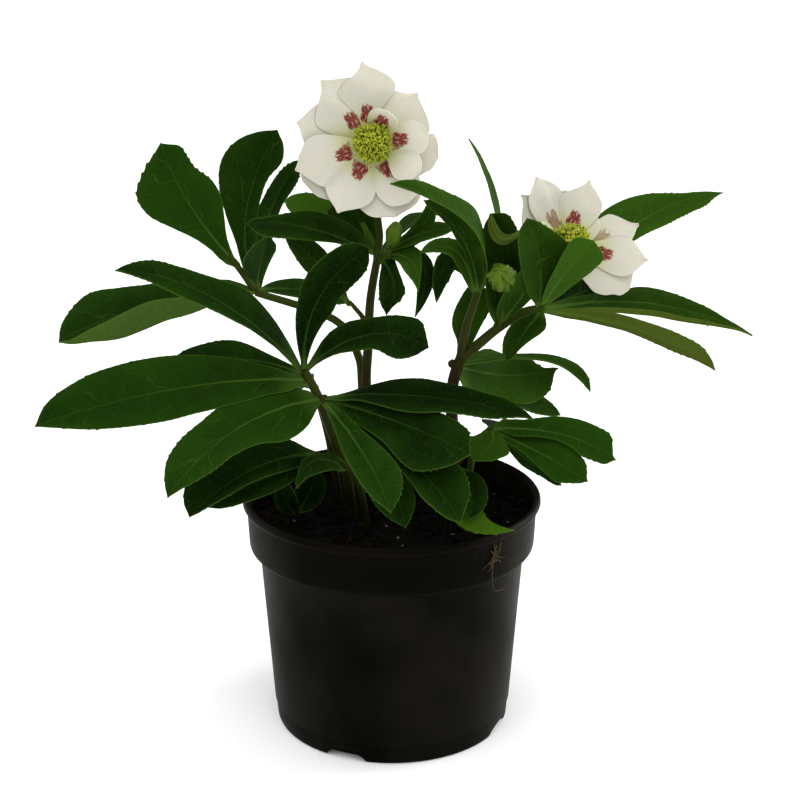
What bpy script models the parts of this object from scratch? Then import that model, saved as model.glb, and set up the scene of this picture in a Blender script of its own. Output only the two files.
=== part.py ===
"""Potted hellebore: a nursery pot full of soil, nine leaves and two flowering stems with two flowers and two buds.

Metres, +Z up. The origin is the middle of the pot's underside, and the front is -Y.
Sizes and places in the tables are in millimetres; each is turned into metres where a mesh is made.
"""
import math

import bmesh
import bpy
from mathutils import Matrix, Vector

MM = 0.001
GAP = 0.3

# Pot
POT_HEIGHT = 105
LIP_RADIUS = 65
LIP_HEIGHT = 4
COLLAR_RADIUS = 63
COLLAR_FOOT = 81
BODY_TOP_RADIUS = 58
BASE_RADIUS = 52
STEP_HEIGHT = 9
STEP_DEPTH = 0.4
WALL = 1.6
POT_SIDES = 32
DRAIN_COUNT = 4
DRAIN_FIRST_ANGLE = 247
DRAIN_WIDTH = 19
DRAIN_HEIGHT = 4.5
DRAIN_DEPTH = 14
DRAIN_SIDES = 12

# Soil
SOIL_TOP = 95
SOIL_RELIEF = 1.6
SOIL_RINGS = 4
SOIL_SIDES = POT_SIDES // 2
ROOT_END = 72
HOLE_SIDES = 8
HOLE_ABOVE = 12

# Leaflets and stalks
BLADE_THICKNESS = 0.7
STALK_STEPS = 2
STALK_BEVEL_RESOLUTION = 1
LEAFLET_ROW = 10
TOOTH = 0.06
TEETH_FROM = 0.42
FOLD = 0.22

# Outlines of a blade: how it widens from the base, how it narrows to the tip, and how deep its teeth are
LONG = (1.15, 0.85, TOOTH)
BROAD = (1.35, 0.55, TOOTH)
OVAL = (0.75, 0.65, TOOTH)
SPOON = (1.7, 0.6, TOOTH)
EVEN = (0.75, 0.9, TOOTH)
YOUNG = (0.8, 0.6, 0)
PETAL = (0.75, 0.45, 0)


def standing(x, y):
    """The two lowest points of a stalk: straight down in its hole in the soil."""
    return [(x, y, ROOT_END), (x, y, SOIL_TOP + 4)]


# Each leaf or stem: its stalks, as lower radius, upper radius and route, the knots where leaflets meet, as
# place and radius, and its leaflets, as base, middle, tip, width, the way the upper side faces, and outline.
LEAVES = {
    "leaf_front": {
        "stalks": [
            (2.3, 1.8, standing(-17, -6) + [(-20, -10, 119), (-27, -18, 144), (-31, -22, 157), (-36, -22, 167)]),
        ],
        "knots": [((-36, -22, 166), 2.6), ((-28, -23, 155), 2.8)],
        "leaflets": [
            ((-35, -22, 163), (-86, -40, 165), (-142, -55, 154), 29, (-1, -7, 6), LONG),
            ((-29, -23, 155), (-62, -50, 151), (-88, -72, 130), 29, (-2, -7, 5), OVAL),
            ((-37, -21, 165), (-64, -6, 167), (-100, 6, 160), 18, (0, -5, 8), LONG),
            ((-37, -22, 167), (-70, -48, 205), (-106, -60, 219), 18, (2, -5, 7), LONG),
            ((-36, -22, 167), (-30, -27, 198), (-9, -18, 218), 22, (2, -9, 1), BROAD),
            ((-35, -23, 168), (-9, -38, 187), (15, -46, 184), 18, (0, -6, 7), OVAL),
            ((-27, -24, 156), (16, -42, 162), (57, -52, 156), 19, (0, -3, 9), LONG),
            ((-27, -24, 155), (7, -52, 153), (31, -72, 148), 22, (1, -7, 7), BROAD),
            ((-27, -24, 154), (7, -62, 142), (27, -88, 126), 23, (2, -6, 6), OVAL),
            ((-28, -24, 154), (-10, -64, 144), (0, -88, 130), 17, (1, -8, 6), OVAL),
            ((-27, -23, 154), (-5, -46, 136), (6, -64, 114), 16, (1, -8, 4), LONG),
        ],
    },
    "leaf_low_left": {
        "stalks": [(1.6, 1.4, standing(-11, -16) + [(-14, -17, 115), (-20, -17, 123), (-31, -15, 127)])],
        "knots": [((-31, -15, 127), 2.4)],
        "leaflets": [
            ((-32, -15, 128), (-58, -38, 129), (-81, -62, 118), 24, (-1, -6, 5), OVAL),
            ((-32, -15, 127), (-50, -28, 123), (-75, -44, 115), 15, (-1, -6, 5), OVAL),
            ((-19, -17, 122), (-32, -26, 129), (-39, -40, 122), 12, (0, -4, 8), OVAL),
        ],
    },
    "leaf_upper_left": {
        "stalks": [
            (2.1, 1.6, standing(-14, 8)
             + [(-13, 10, 125), (-13, 13, 150), (-15, 14, 164), (-25, 18, 178), (-59, 22, 189)]),
            (1.5, 1.2, [(-59, 22, 189), (-64, 22, 197), (-70, 20, 206)]),
        ],
        "knots": [((-59, 22, 190), 2.6)],
        "leaflets": [
            ((-66, 21, 201), (-85, 16, 228), (-96, 10, 256), 34, (0, -9, 3), SPOON),
            ((-59, 23, 191), (-64, 42, 220), (-50, 50, 255), 29, (2, -9, 2), SPOON),
            ((-59, 23, 191), (-54, 51, 218), (-41, 66, 239), 21, (4, -8, 4), OVAL),
            ((-59, 23, 190), (-57, 29, 200), (-54, 36, 211), 17, (7, -6, 2), BROAD),
            ((-58, 23, 190), (-41, 42, 185), (-20, 58, 175), 13, (3, -5, 8), LONG),
            ((-60, 22, 190), (-103, 4, 188), (-139, -12, 177), 23, (0, -5, 7), BROAD),
        ],
    },
    "leaf_low_right": {
        "stalks": [(1.7, 1.4, standing(31, -8) + [(33, -8, 114), (36, -9, 130), (42, -12, 138)])],
        "knots": [((42, -12, 138), 2.4)],
        "leaflets": [
            ((42, -12, 138), (70, -30, 142), (92, -42, 135), 17, (0, -7, 6), BROAD),
            ((42, -12, 138), (64, -32, 133), (80, -48, 128), 16, (0, -7, 6), BROAD),
            ((42, -12, 138), (58, -22, 127), (71, -32, 120), 8, (-4, -7, 4), LONG),
            ((42, -12, 138), (42, -22, 135), (34, -34, 132), 17, (-1, -6, 7), OVAL),
        ],
    },
    "leaf_in_pot": {
        "stalks": [(1.4, 1.3, standing(22, -16) + [(26, -21, 115), (28, -25, 125)])],
        "knots": [((28, -25, 125), 1.9)],
        "leaflets": [((28, -25, 125), (31, -40, 112), (50, -54, 109), 14, (2, -8, 5), OVAL)],
    },
    "sprout": {
        "stalks": [(1.2, 1.1, standing(-41, -9) + [(-41, -9, 101)])],
        "knots": [],
        "leaflets": [
            ((-41, -9, 99), (-45, -13, 105), (-46, -14, 116), 10, (-1, -9, 2), YOUNG),
            ((-41, -9, 99), (-36, -5, 106), (-33, -2, 116), 13, (1, -9, 2), YOUNG),
        ],
    },
    "leaf_back_left": {
        "stalks": [(2.0, 1.6, standing(-24, 16) + [(-28, 20, 123), (-34, 24, 145)])],
        "knots": [((-34, 24, 145), 2.6)],
        "leaflets": [
            ((-34, 24, 145), (-74, 46, 142), (-112, 62, 125), 24, (0, 1, 9), LONG),
            ((-34, 24, 145), (-60, 66, 137), (-82, 104, 115), 26, (0, 2, 9), LONG),
            ((-34, 24, 145), (-48, 72, 135), (-52, 114, 109), 22, (0, 3, 9), LONG),
        ],
    },
    "leaf_back": {
        "stalks": [(2.0, 1.6, standing(4, 14) + [(5, 20, 118), (10, 34, 138)])],
        "knots": [((10, 34, 138), 2.6)],
        "leaflets": [
            ((10, 34, 138), (-14, 68, 126), (-30, 98, 111), 20, (0, 3, 9), LONG),
            ((10, 34, 138), (6, 74, 129), (2, 112, 111), 22, (0, 3, 9), LONG),
            ((10, 34, 138), (28, 70, 129), (40, 102, 112), 22, (0, 3, 9), LONG),
            ((10, 34, 138), (38, 52, 133), (64, 70, 120), 18, (0, 2, 9), LONG),
        ],
    },
    "leaf_back_right": {
        "stalks": [(1.8, 1.4, standing(22, 14) + [(30, 18, 113), (44, 24, 125)])],
        "knots": [((44, 24, 125), 2.4)],
        "leaflets": [
            ((44, 24, 125), (70, 38, 124), (97, 48, 115), 16, (0, 1, 9), BROAD),
            ((44, 24, 125), (66, 52, 119), (84, 80, 103), 18, (0, 3, 9), LONG),
            ((44, 24, 125), (50, 60, 117), (52, 96, 100), 17, (0, 3, 9), LONG),
        ],
    },
    "flower_stalk": {
        "stalks": [
            (2.6, 1.7, standing(-5, 1) + [(-9, 3, 125), (-11, 5, 152), (-10, 5, 170), (-9, 5, 190), (-6, 5, 208)]),
            (1.7, 1.5, [(-6, 5, 206), (-5, 6, 218), (-7, 8, 235), (-8, 7, 248)] + ["bloom_high"]),
            (1.2, 1.1, [(-6, 5, 206), (-3, 2, 211)] + ["bud_high"]),
            (1.1, 0.9, [(-10, 5, 178), (-13, 7, 183), (-18, 10, 188)]),
        ],
        "knots": [((-6, 5, 209), 2.6)],
        "leaflets": [
            ((-6, 5, 210), (-36, -5, 224), (-59, -12, 227), 15, (1, -6, 7), LONG),
            ((-6, 6, 210), (-25, 18, 222), (-46, 24, 229), 16, (-2, -7, 5), OVAL),
            ((-6, 6, 210), (-13, 14, 221), (-17, 19, 234), 19, (1, -9, 3), OVAL),
            ((-5, 4, 209), (1, -8, 200), (-2, -12, 188), 11, (1, -9, 0), LONG),
            ((-5, 4, 210), (12, -6, 221), (26, -8, 224), 9, (0, -5, 6), LONG),
            ((-5, 4, 210), (11, -3, 221), (16, -8, 236), 8, (2, -9, 1), LONG),
            ((-5, 4, 209), (8, -10, 211), (11, -20, 200), 11, (2, -7, 4), LONG),
            ((-5, 5, 209), (13, 6, 206), (10, 3, 183), 8, (2, -9, 0), LONG),
            ((-18, 10, 187), (-31, 17, 202), (-46, 22, 216), 14, (3, -6, 6), LONG),
            ((-6, 6, 210), (12, 22, 222), (24, 34, 220), 20, (0, 3, 9), LONG),
            ((-6, 6, 210), (-16, 26, 216), (-14, 44, 206), 20, (0, 3, 9), LONG),
        ],
    },
    "leafy_stem_right": {
        "stalks": [
            (3.0, 2.4, standing(22, 1) + [(26, 1, 125), (26, 1, 152), (30, 0, 167)]),
            (1.9, 1.5, [(29, 0, 165), (32, -2, 182), (36, -6, 196)]),
            (2.2, 1.7, [(29, 0, 165), (38, 0, 173), (45, 0, 179), (55, -4, 187), (63, -8, 190)]),
            (1.4, 1.3, [(62, -7, 190), (68, 3, 194), (73, 13, 202)] + ["bloom_side"]),
            (1.0, 1.0, [(45, 0, 179), (46, -8, 188)] + ["bud_side"]),
        ],
        "knots": [((26, 1, 163), 3.2), ((36, -6, 196), 2.4), ((45, 0, 180), 2.9), ((63, -8, 190), 2.4)],
        "leaflets": [
            ((36, -6, 197), (33, -32, 230), (0, -50, 251), 16, (3, -5, 7), OVAL),
            ((36, -6, 196), (29, -24, 223), (13, -30, 240), 12, (-4, -8, 2), EVEN),
            ((35, -6, 196), (26, -18, 217), (12, -22, 217), 9, (-2, -6, 6), EVEN),
            ((36, -5, 196), (25, 4, 208), (19, 1, 190), 10, (2, -9, 0), LONG),
            ((29, 1, 166), (33, 12, 180), (38, 17, 194), 17, (0, -9, 2), YOUNG),
            ((45, 1, 181), (46, 16, 220), (33, 22, 256), 10, (9, -2, 3), LONG),
            ((45, -1, 181), (46, -11, 211), (41, -17, 232), 15, (1, -9, -2), OVAL),
            ((46, -1, 180), (57, -17, 202), (66, -26, 217), 17, (4, -8, 2), OVAL),
            ((62, -8, 190), (60, -25, 214), (54, -36, 234), 23, (1, -9, 2), OVAL),
            ((63, -8, 191), (71, -29, 211), (80, -40, 226), 23, (3, -9, 2), OVAL),
            ((63, -7, 190), (108, 36, 217), (147, 52, 227), 18, (0, -7, 6), EVEN),
            ((64, -8, 190), (113, 14, 186), (155, 8, 174), 17, (1, -5, 7), LONG),
            ((64, -8, 189), (101, -22, 185), (132, -34, 171), 15, (0, 8, 4), OVAL),
            ((63, -8, 189), (55, -10, 179), (49, -8, 167), 15, (-2, -8, 3), OVAL),
            ((27, 2, 162), (51, 20, 152), (74, 28, 153), 20, (0, -7, 5), BROAD),
            ((27, 2, 161), (53, 17, 145), (75, 22, 133), 12, (0, -6, 7), LONG),
            ((28, 2, 163), (66, 14, 161), (86, 6, 149), 8, (1, -2, 9), LONG),
        ],
    },
}

# Flowers: middle of the receptacle, the way the flower faces, and petals clockwise from the top as
# angle in degrees, length, width, and the layer, which is its rise in degrees and where it starts
RECEPTACLE_RADIUS = 4.4
RECEPTACLE_BACK = 1.8
RECEPTACLE_FRONT = 2.2
PETAL_START = 3
PETAL_CUP = 0.07
PETAL_ROWS = 5
PETAL_ACROSS = 3
PETAL_FOLD = 0.18
LAYER_1, LAYER_2, LAYER_3 = (20, -1.2), (20, -0.2), (20, 0.8)
LAYER_4, LAYER_5 = (34, 1.0), (38, 1.6)
FLOWERS = {
    "high": {
        "centre": (-8, -4, 258),
        "axis": (0.05, -0.95, 0.24),
        "petals": [
            (-8, 32, 26, LAYER_3), (-38, 32, 24, LAYER_1), (-74, 31, 24, LAYER_3), (-120, 32, 25, LAYER_1),
            (165, 30, 26, LAYER_3), (97, 27, 22, LAYER_1), (48, 27, 25, LAYER_2),
            (-105, 26, 20, LAYER_4), (-158, 27, 18, LAYER_5), (142, 25, 18, LAYER_4), (78, 21, 16, LAYER_5),
            (22, 18, 14, LAYER_4), (-24, 24, 17, LAYER_5),
        ],
    },
    "side": {
        "centre": (73, 10, 212),
        "axis": (0.25, -0.86, 0.42),
        "petals": [
            (-46, 29, 20, LAYER_1), (-12, 26, 18, LAYER_3), (20, 27, 22, LAYER_1), (84, 31, 22, LAYER_3),
            (138, 29, 23, LAYER_1), (-165, 17, 18, LAYER_3), (-100, 16, 18, LAYER_2),
            (-24, 28, 17, LAYER_4), (112, 29, 19, LAYER_5), (48, 19, 15, LAYER_5), (-70, 15, 13, LAYER_5),
            (168, 15, 13, LAYER_4),
        ],
    },
}
HEART_RADIUS = 5
STAMEN_COUNT = 22
STAMEN_SIDES = 3
STAMEN_LENGTH = 3.6
STAMEN_RADIUS = 1.1
STAMEN_SPREAD = 0.93

# Buds: middle, the way the tip points, radius and length
BUDS = {
    "high": ((1, -6, 221), (0.2, -0.25, 0.95), 3.2, 12),
    "side": ((45, -23, 207), (-0.15, -0.6, 0.6), 5.2, 11),
}
BUD_SIDES = 10
BUD_RINGS = 7
BUD_SEPALS = 5
BUD_RIDGE = 0.08

# Colours, as linear red, green and blue, and roughness
COLOURS = {
    "black_plastic": ((0.010, 0.010, 0.009), 0.42),
    "peat": ((0.020, 0.013, 0.009), 0.95),
    "leaf_green": ((0.020, 0.075, 0.014), 0.45),
    "petal_white": ((0.72, 0.68, 0.60), 0.6),
    "stamen_green": ((0.36, 0.45, 0.05), 0.6),
    "bud_green": ((0.16, 0.26, 0.05), 0.5),
}


def make_collection(name):
    collection = bpy.data.collections.new(name)
    bpy.context.scene.collection.children.link(collection)
    return collection


def make_material(node_name, finish):
    """A node's own Principled material, in the colour and roughness of its finish."""
    colour, roughness = COLOURS[finish]
    material = bpy.data.materials.new(node_name + "_" + finish)
    material.use_nodes = True
    shader = material.node_tree.nodes["Principled BSDF"]
    shader.inputs["Base Color"].default_value = (*colour, 1)
    shader.inputs["Roughness"].default_value = roughness
    shader.inputs["Metallic"].default_value = 0
    return material


def make_object(name, mesh_source, collection):
    """An object from a bmesh, which is freed, linked into a collection."""
    mesh = bpy.data.meshes.new(name)
    mesh_source.to_mesh(mesh)
    mesh_source.free()
    obj = bpy.data.objects.new(name, mesh)
    collection.objects.link(obj)
    return obj


def applied(obj):
    """The object's mesh with its modifiers applied."""
    bpy.context.view_layer.update()
    depsgraph = bpy.context.evaluated_depsgraph_get()
    return bpy.data.meshes.new_from_object(obj.evaluated_get(depsgraph))


def apply_modifiers(obj):
    mesh = applied(obj)
    obj.modifiers.clear()
    obj.data = mesh
    return obj


def finish_node(obj, finish):
    """Gives a node its material and shades it smooth up to 40 degrees."""
    obj.data.materials.clear()
    obj.data.materials.append(make_material(obj.name, finish))
    obj.data.shade_smooth()
    obj.data.set_sharp_from_angle(angle=math.radians(40))


def remove_pieces(pieces):
    for piece in pieces:
        bpy.data.objects.remove(piece)


def combine(body, others, operation):
    """One Boolean on a collection, applied, after which the collection and its objects are removed."""
    group = bpy.data.collections.new(body.name + "_others")
    for other in others:
        group.objects.link(other)
    boolean = body.modifiers.new("combine", "BOOLEAN")
    boolean.operation = operation
    boolean.operand_type = "COLLECTION"
    boolean.collection = group
    boolean.solver = "EXACT"
    apply_modifiers(body)
    remove_pieces(others)
    bpy.data.collections.remove(group)
    return body


def smooth_route(points, steps):
    """Points on a smooth curve through the given points; the first stretch stays straight."""
    points = [Vector(point) for point in points]
    route = [points[0]]
    for index in range(1, len(points) - 1):
        before = points[index - 1] if index > 1 else points[index]
        start, end = points[index], points[index + 1]
        after = points[index + 2] if index + 2 < len(points) else end
        for step in range(steps):
            t = step / steps
            pull_in = (end - before) / 2
            pull_out = (after - start) / 2
            route.append(
                start * (2 * t**3 - 3 * t**2 + 1)
                + pull_in * (t**3 - 2 * t**2 + t)
                + end * (3 * t**2 - 2 * t**3)
                + pull_out * (t**3 - t**2)
            )
    route.append(points[-1])
    return route


def stalk(name, low_radius, high_radius, points, collection):
    """A tapering round stalk along a smooth route, as a closed mesh."""
    route = smooth_route(points, STALK_STEPS)
    curve = bpy.data.curves.new(name, "CURVE")
    curve.dimensions = "3D"
    curve.bevel_depth = MM
    curve.bevel_resolution = STALK_BEVEL_RESOLUTION
    curve.use_fill_caps = True
    spline = curve.splines.new("POLY")
    spline.points.add(len(route) - 1)
    for index, (spot, point) in enumerate(zip(spline.points, route)):
        spot.co = (*(point * MM), 1)
        spot.radius = low_radius + (high_radius - low_radius) * index / (len(route) - 1)
    guide = bpy.data.objects.new(name + "_guide", curve)
    collection.objects.link(guide)
    mesh = applied(guide)
    cleaner = bmesh.new()
    cleaner.from_mesh(mesh)
    bmesh.ops.remove_doubles(cleaner, verts=cleaner.verts, dist=0.00001)
    obj = make_object(name, cleaner, collection)
    obj.matrix_world = guide.matrix_world
    bpy.data.objects.remove(guide)
    return obj


def knot(name, place, radius, collection):
    """The small swelling where leaflets meet on a stalk."""
    ball = bmesh.new()
    where = Matrix.Translation(Vector(place) * MM)
    bmesh.ops.create_icosphere(ball, subdivisions=1, radius=radius * MM, matrix=where)
    return make_object(name, ball, collection)


def outline(along, widen, narrow):
    """Half-width at a place along a blade, 1 at its widest."""
    widest = widen / (widen + narrow)
    return (along**widen * (1 - along) ** narrow) / (widest**widen * (1 - widest) ** narrow)


def blade(name, base, middle, tip, width, facing, shape, rows, across, fold, collection):
    """A leaflet or petal: a grid bent along its midrib, cut to its outline and thickened."""
    base, middle, tip = Vector(base), Vector(middle), Vector(tip)
    bend = middle * 2 - (base + tip) / 2
    facing = Vector(facing)
    widen, narrow, tooth = shape
    sheet = bmesh.new()
    bmesh.ops.create_grid(sheet, x_segments=across, y_segments=rows, size=1)
    for vertex in sheet.verts:
        side = vertex.co.x
        along = (vertex.co.y + 1) / 2
        row = round(along * rows)
        rib = base * (1 - along) ** 2 + bend * 2 * along * (1 - along) + tip * along**2
        heading = ((bend - base) * (1 - along) + (tip - bend) * along).normalized()
        up = (facing - heading * facing.dot(heading)).normalized()
        right = heading.cross(up)
        half = width / 2 * outline(along, widen, narrow)
        if along > TEETH_FROM and row % 2 == 0:
            half = half * (1 - 2 * tooth)
        half = max(half, 1.1 * (1 - along) + 0.35)
        lift = fold * abs(side) * half
        vertex.co = (rib + right * side * half + up * lift) * MM
    bmesh.ops.triangulate(sheet, faces=sheet.faces)
    obj = make_object(name, sheet, collection)
    solid = obj.modifiers.new("thickness", "SOLIDIFY")
    solid.thickness = BLADE_THICKNESS * MM
    solid.offset = 0
    return apply_modifiers(obj)


def leaf_rows(base, tip):
    """An even count of rows, more on a long leaflet, so that the teeth stay about one size."""
    length = (Vector(tip) - Vector(base)).length
    return 2 * max(2, min(6, round(length / LEAFLET_ROW / 2)))


def seat_points(seat):
    """The last two points of a stalk that carries a flower or bud, square to its seat."""
    kind, where = seat.split("_")
    if kind == "bloom":
        centre = Vector(FLOWERS[where]["centre"])
        axis = Vector(FLOWERS[where]["axis"]).normalized()
        back = RECEPTACLE_BACK
    else:
        place, axis, _, length = BUDS[where]
        centre = Vector(place)
        axis = Vector(axis).normalized()
        back = length / 2
    return [centre - axis * (back + 2 * GAP + 4), centre - axis * (back + 2 * GAP)]


def stalk_route(points):
    if isinstance(points[-1], str):
        return points[:-1] + seat_points(points[-1])
    return points


def make_leaf(name, parts, collection):
    """One leaf or leafy stem: its stalks, knots and leaflets joined in one body."""
    pieces = []
    for index, (low, high, points) in enumerate(parts["stalks"]):
        pieces.append(stalk(f"{name}_stalk_{index}", low, high, stalk_route(points), collection))
    for index, (place, radius) in enumerate(parts["knots"]):
        pieces.append(knot(f"{name}_knot_{index}", place, radius, collection))
    for index, (base, middle, tip, width, facing, shape) in enumerate(parts["leaflets"]):
        rows = leaf_rows(base, tip)
        piece_name = f"{name}_leaflet_{index}"
        pieces.append(blade(piece_name, base, middle, tip, width, facing, shape, rows, 2, FOLD, collection))
    body = combine(pieces[0], pieces[1:], "UNION")
    body.name = name
    finish_node(body, "leaf_green")


def flower_axes(axis):
    """The flower's own directions: the way it faces, up in its plane, and right as seen from in front."""
    axis = Vector(axis).normalized()
    up = (Vector((0, 0, 1)) - axis * axis.z).normalized()
    return axis, up, up.cross(axis)


def make_bloom(name, flower, collection):
    """The petals of a flower in their layers, joined to a thin receptacle."""
    axis, up, right = flower_axes(flower["axis"])
    centre = Vector(flower["centre"])
    turn = axis.to_track_quat("Z", "X").to_matrix().to_4x4()
    middle = centre + axis * (RECEPTACLE_FRONT - RECEPTACLE_BACK) / 2
    disc = bmesh.new()
    bmesh.ops.create_cone(
        disc, cap_ends=True, segments=12, radius1=RECEPTACLE_RADIUS * MM, radius2=RECEPTACLE_RADIUS * MM,
        depth=(RECEPTACLE_BACK + RECEPTACLE_FRONT) * MM, matrix=Matrix.Translation(middle * MM) @ turn,
    )
    pieces = [make_object(name + "_receptacle", disc, collection)]
    for index, (angle, length, width, (rise, start)) in enumerate(flower["petals"]):
        angle, rise = math.radians(angle), math.radians(rise)
        outward = up * math.cos(angle) + right * math.sin(angle)
        base = centre + outward * PETAL_START + axis * start
        reach = (outward * math.cos(rise) + axis * math.sin(rise)) * length
        half_way = base + reach / 2 - axis * length * PETAL_CUP
        facing = axis * math.cos(rise) - outward * math.sin(rise)
        piece_name = f"{name}_petal_{index}"
        pieces.append(
            blade(
                piece_name, base, half_way, base + reach, width, facing, PETAL,
                PETAL_ROWS, PETAL_ACROSS, PETAL_FOLD, collection,
            )
        )
    body = combine(pieces[0], pieces[1:], "UNION")
    body.name = name
    finish_node(body, "petal_white")


def make_heart(name, flower, collection):
    """A ball of nectaries and stamens that stands on the receptacle."""
    axis, up, right = flower_axes(flower["axis"])
    centre = Vector(flower["centre"]) + axis * (RECEPTACLE_FRONT + GAP + HEART_RADIUS)
    core = bmesh.new()
    bmesh.ops.create_icosphere(
        core, subdivisions=2, radius=HEART_RADIUS * MM, matrix=Matrix.Translation(centre * MM)
    )
    pieces = [make_object(name + "_core", core, collection)]
    golden_angle = math.pi * (3 - math.sqrt(5))
    for index in range(STAMEN_COUNT):
        height = 1 - STAMEN_SPREAD * (index + 0.5) / STAMEN_COUNT
        across = math.sqrt(1 - height * height)
        turn = golden_angle * index
        outward = axis * height + (up * math.cos(turn) + right * math.sin(turn)) * across
        middle = centre + outward * (HEART_RADIUS + STAMEN_LENGTH / 2 - 1)
        where = Matrix.Translation(middle * MM) @ outward.to_track_quat("Z", "X").to_matrix().to_4x4()
        stamen = bmesh.new()
        bmesh.ops.create_cone(
            stamen, cap_ends=True, segments=STAMEN_SIDES, radius1=STAMEN_RADIUS * 0.7 * MM,
            radius2=STAMEN_RADIUS * MM, depth=STAMEN_LENGTH * MM, matrix=where,
        )
        pieces.append(make_object(f"{name}_stamen_{index}", stamen, collection))
    body = combine(pieces[0], pieces[1:], "UNION")
    body.name = name
    finish_node(body, "stamen_green")


def make_bud(name, bud, collection):
    """A closed bud: a ball drawn out to a tip, with the edges of its sepals raised as ridges."""
    place, axis, radius, length = bud
    axis = Vector(axis).normalized()
    turn = axis.to_track_quat("Z", "X").to_matrix().to_4x4()
    ball = bmesh.new()
    bmesh.ops.create_uvsphere(ball, u_segments=BUD_SIDES, v_segments=BUD_RINGS, radius=1)
    for vertex in ball.verts:
        angle = math.atan2(vertex.co.y, vertex.co.x)
        ridge = 1 + BUD_RIDGE * math.cos(BUD_SEPALS * angle)
        pinch = 1 - 0.25 * max(0, vertex.co.z)
        vertex.co = Vector((
            vertex.co.x * radius * ridge * pinch, vertex.co.y * radius * ridge * pinch, vertex.co.z * length / 2,
        )) * MM
    bmesh.ops.transform(ball, matrix=Matrix.Translation(Vector(place) * MM) @ turn, verts=ball.verts)
    obj = make_object(name, ball, collection)
    finish_node(obj, "bud_green")


def wall_radius(height):
    """Outside radius of the tapered body at a height."""
    share = height / COLLAR_FOOT
    return BASE_RADIUS + (BODY_TOP_RADIUS - BASE_RADIUS) * share


def turned(name, profile, sides, collection):
    """A solid turned round the Z axis from a profile of radius and height."""
    sketch = bmesh.new()
    corners = [sketch.verts.new((radius * MM, 0, height * MM)) for radius, height in profile]
    for start, end in zip(corners, corners[1:]):
        sketch.edges.new((start, end))
    obj = make_object(name, sketch, collection)
    screw = obj.modifiers.new("turn", "SCREW")
    screw.steps = sides
    screw.render_steps = sides
    screw.use_merge_vertices = True
    screw.merge_threshold = 0.00005
    return apply_modifiers(obj)


def make_pot(collection):
    """The pot: floor and inner wall, rolled lip, collar, body with a fine step, then the drainage arches."""
    lip_foot = POT_HEIGHT - LIP_HEIGHT
    collar_low = COLLAR_FOOT + 3
    profile = [
        (0, WALL), (BASE_RADIUS - WALL - 1, WALL),
        (wall_radius(COLLAR_FOOT) - WALL, COLLAR_FOOT), (COLLAR_RADIUS - WALL, collar_low),
        (COLLAR_RADIUS - WALL, lip_foot), (LIP_RADIUS - 1.8, POT_HEIGHT), (LIP_RADIUS - 0.5, POT_HEIGHT - 0.5),
        (LIP_RADIUS, POT_HEIGHT - 2),
        (COLLAR_RADIUS, lip_foot - 0.4), (COLLAR_RADIUS - 0.6, collar_low), (COLLAR_RADIUS - 2, COLLAR_FOOT + 0.8),
        (BODY_TOP_RADIUS, COLLAR_FOOT - 0.6), (wall_radius(STEP_HEIGHT + 1), STEP_HEIGHT + 0.6),
        (wall_radius(STEP_HEIGHT) - STEP_DEPTH, STEP_HEIGHT), (BASE_RADIUS - STEP_DEPTH, 0.8),
        (BASE_RADIUS - 1.2, 0), (0, 0),
    ]
    pot = turned("pot", profile, POT_SIDES, collection)
    cutters = make_collection("cutters")
    arches = []
    for index in range(DRAIN_COUNT):
        angle = math.radians(DRAIN_FIRST_ANGLE + index * 360 / DRAIN_COUNT)
        across = Matrix.Diagonal((DRAIN_HEIGHT * MM, DRAIN_WIDTH / 2 * MM, 1, 1))
        lying = Matrix.Rotation(math.radians(90), 4, "Y")
        outwards = Matrix.Rotation(angle, 4, "Z") @ Matrix.Translation((BASE_RADIUS * MM, 0, 0))
        arch = bmesh.new()
        bmesh.ops.create_cone(
            arch, cap_ends=True, segments=DRAIN_SIDES, radius1=1, radius2=1, depth=DRAIN_DEPTH * MM,
            matrix=outwards @ lying @ across,
        )
        arches.append(make_object(f"drain_arch_{index}", arch, cutters))
        arches[-1].hide_render = True
        arches[-1].display_type = "WIRE"
    combine(pot, arches, "DIFFERENCE")
    finish_node(pot, "black_plastic")


def soil_relief(x, y):
    """Height of the rough soil top above its mean, for a place in mm."""
    broad = math.sin(x * 0.11 + 1.3) * math.cos(y * 0.09 - 0.4)
    fine = math.sin(x * 0.37 + y * 0.21) * math.sin(y * 0.43 - x * 0.12 + 2.0)
    return SOIL_RELIEF * (0.6 * broad + 0.4 * fine)


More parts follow.
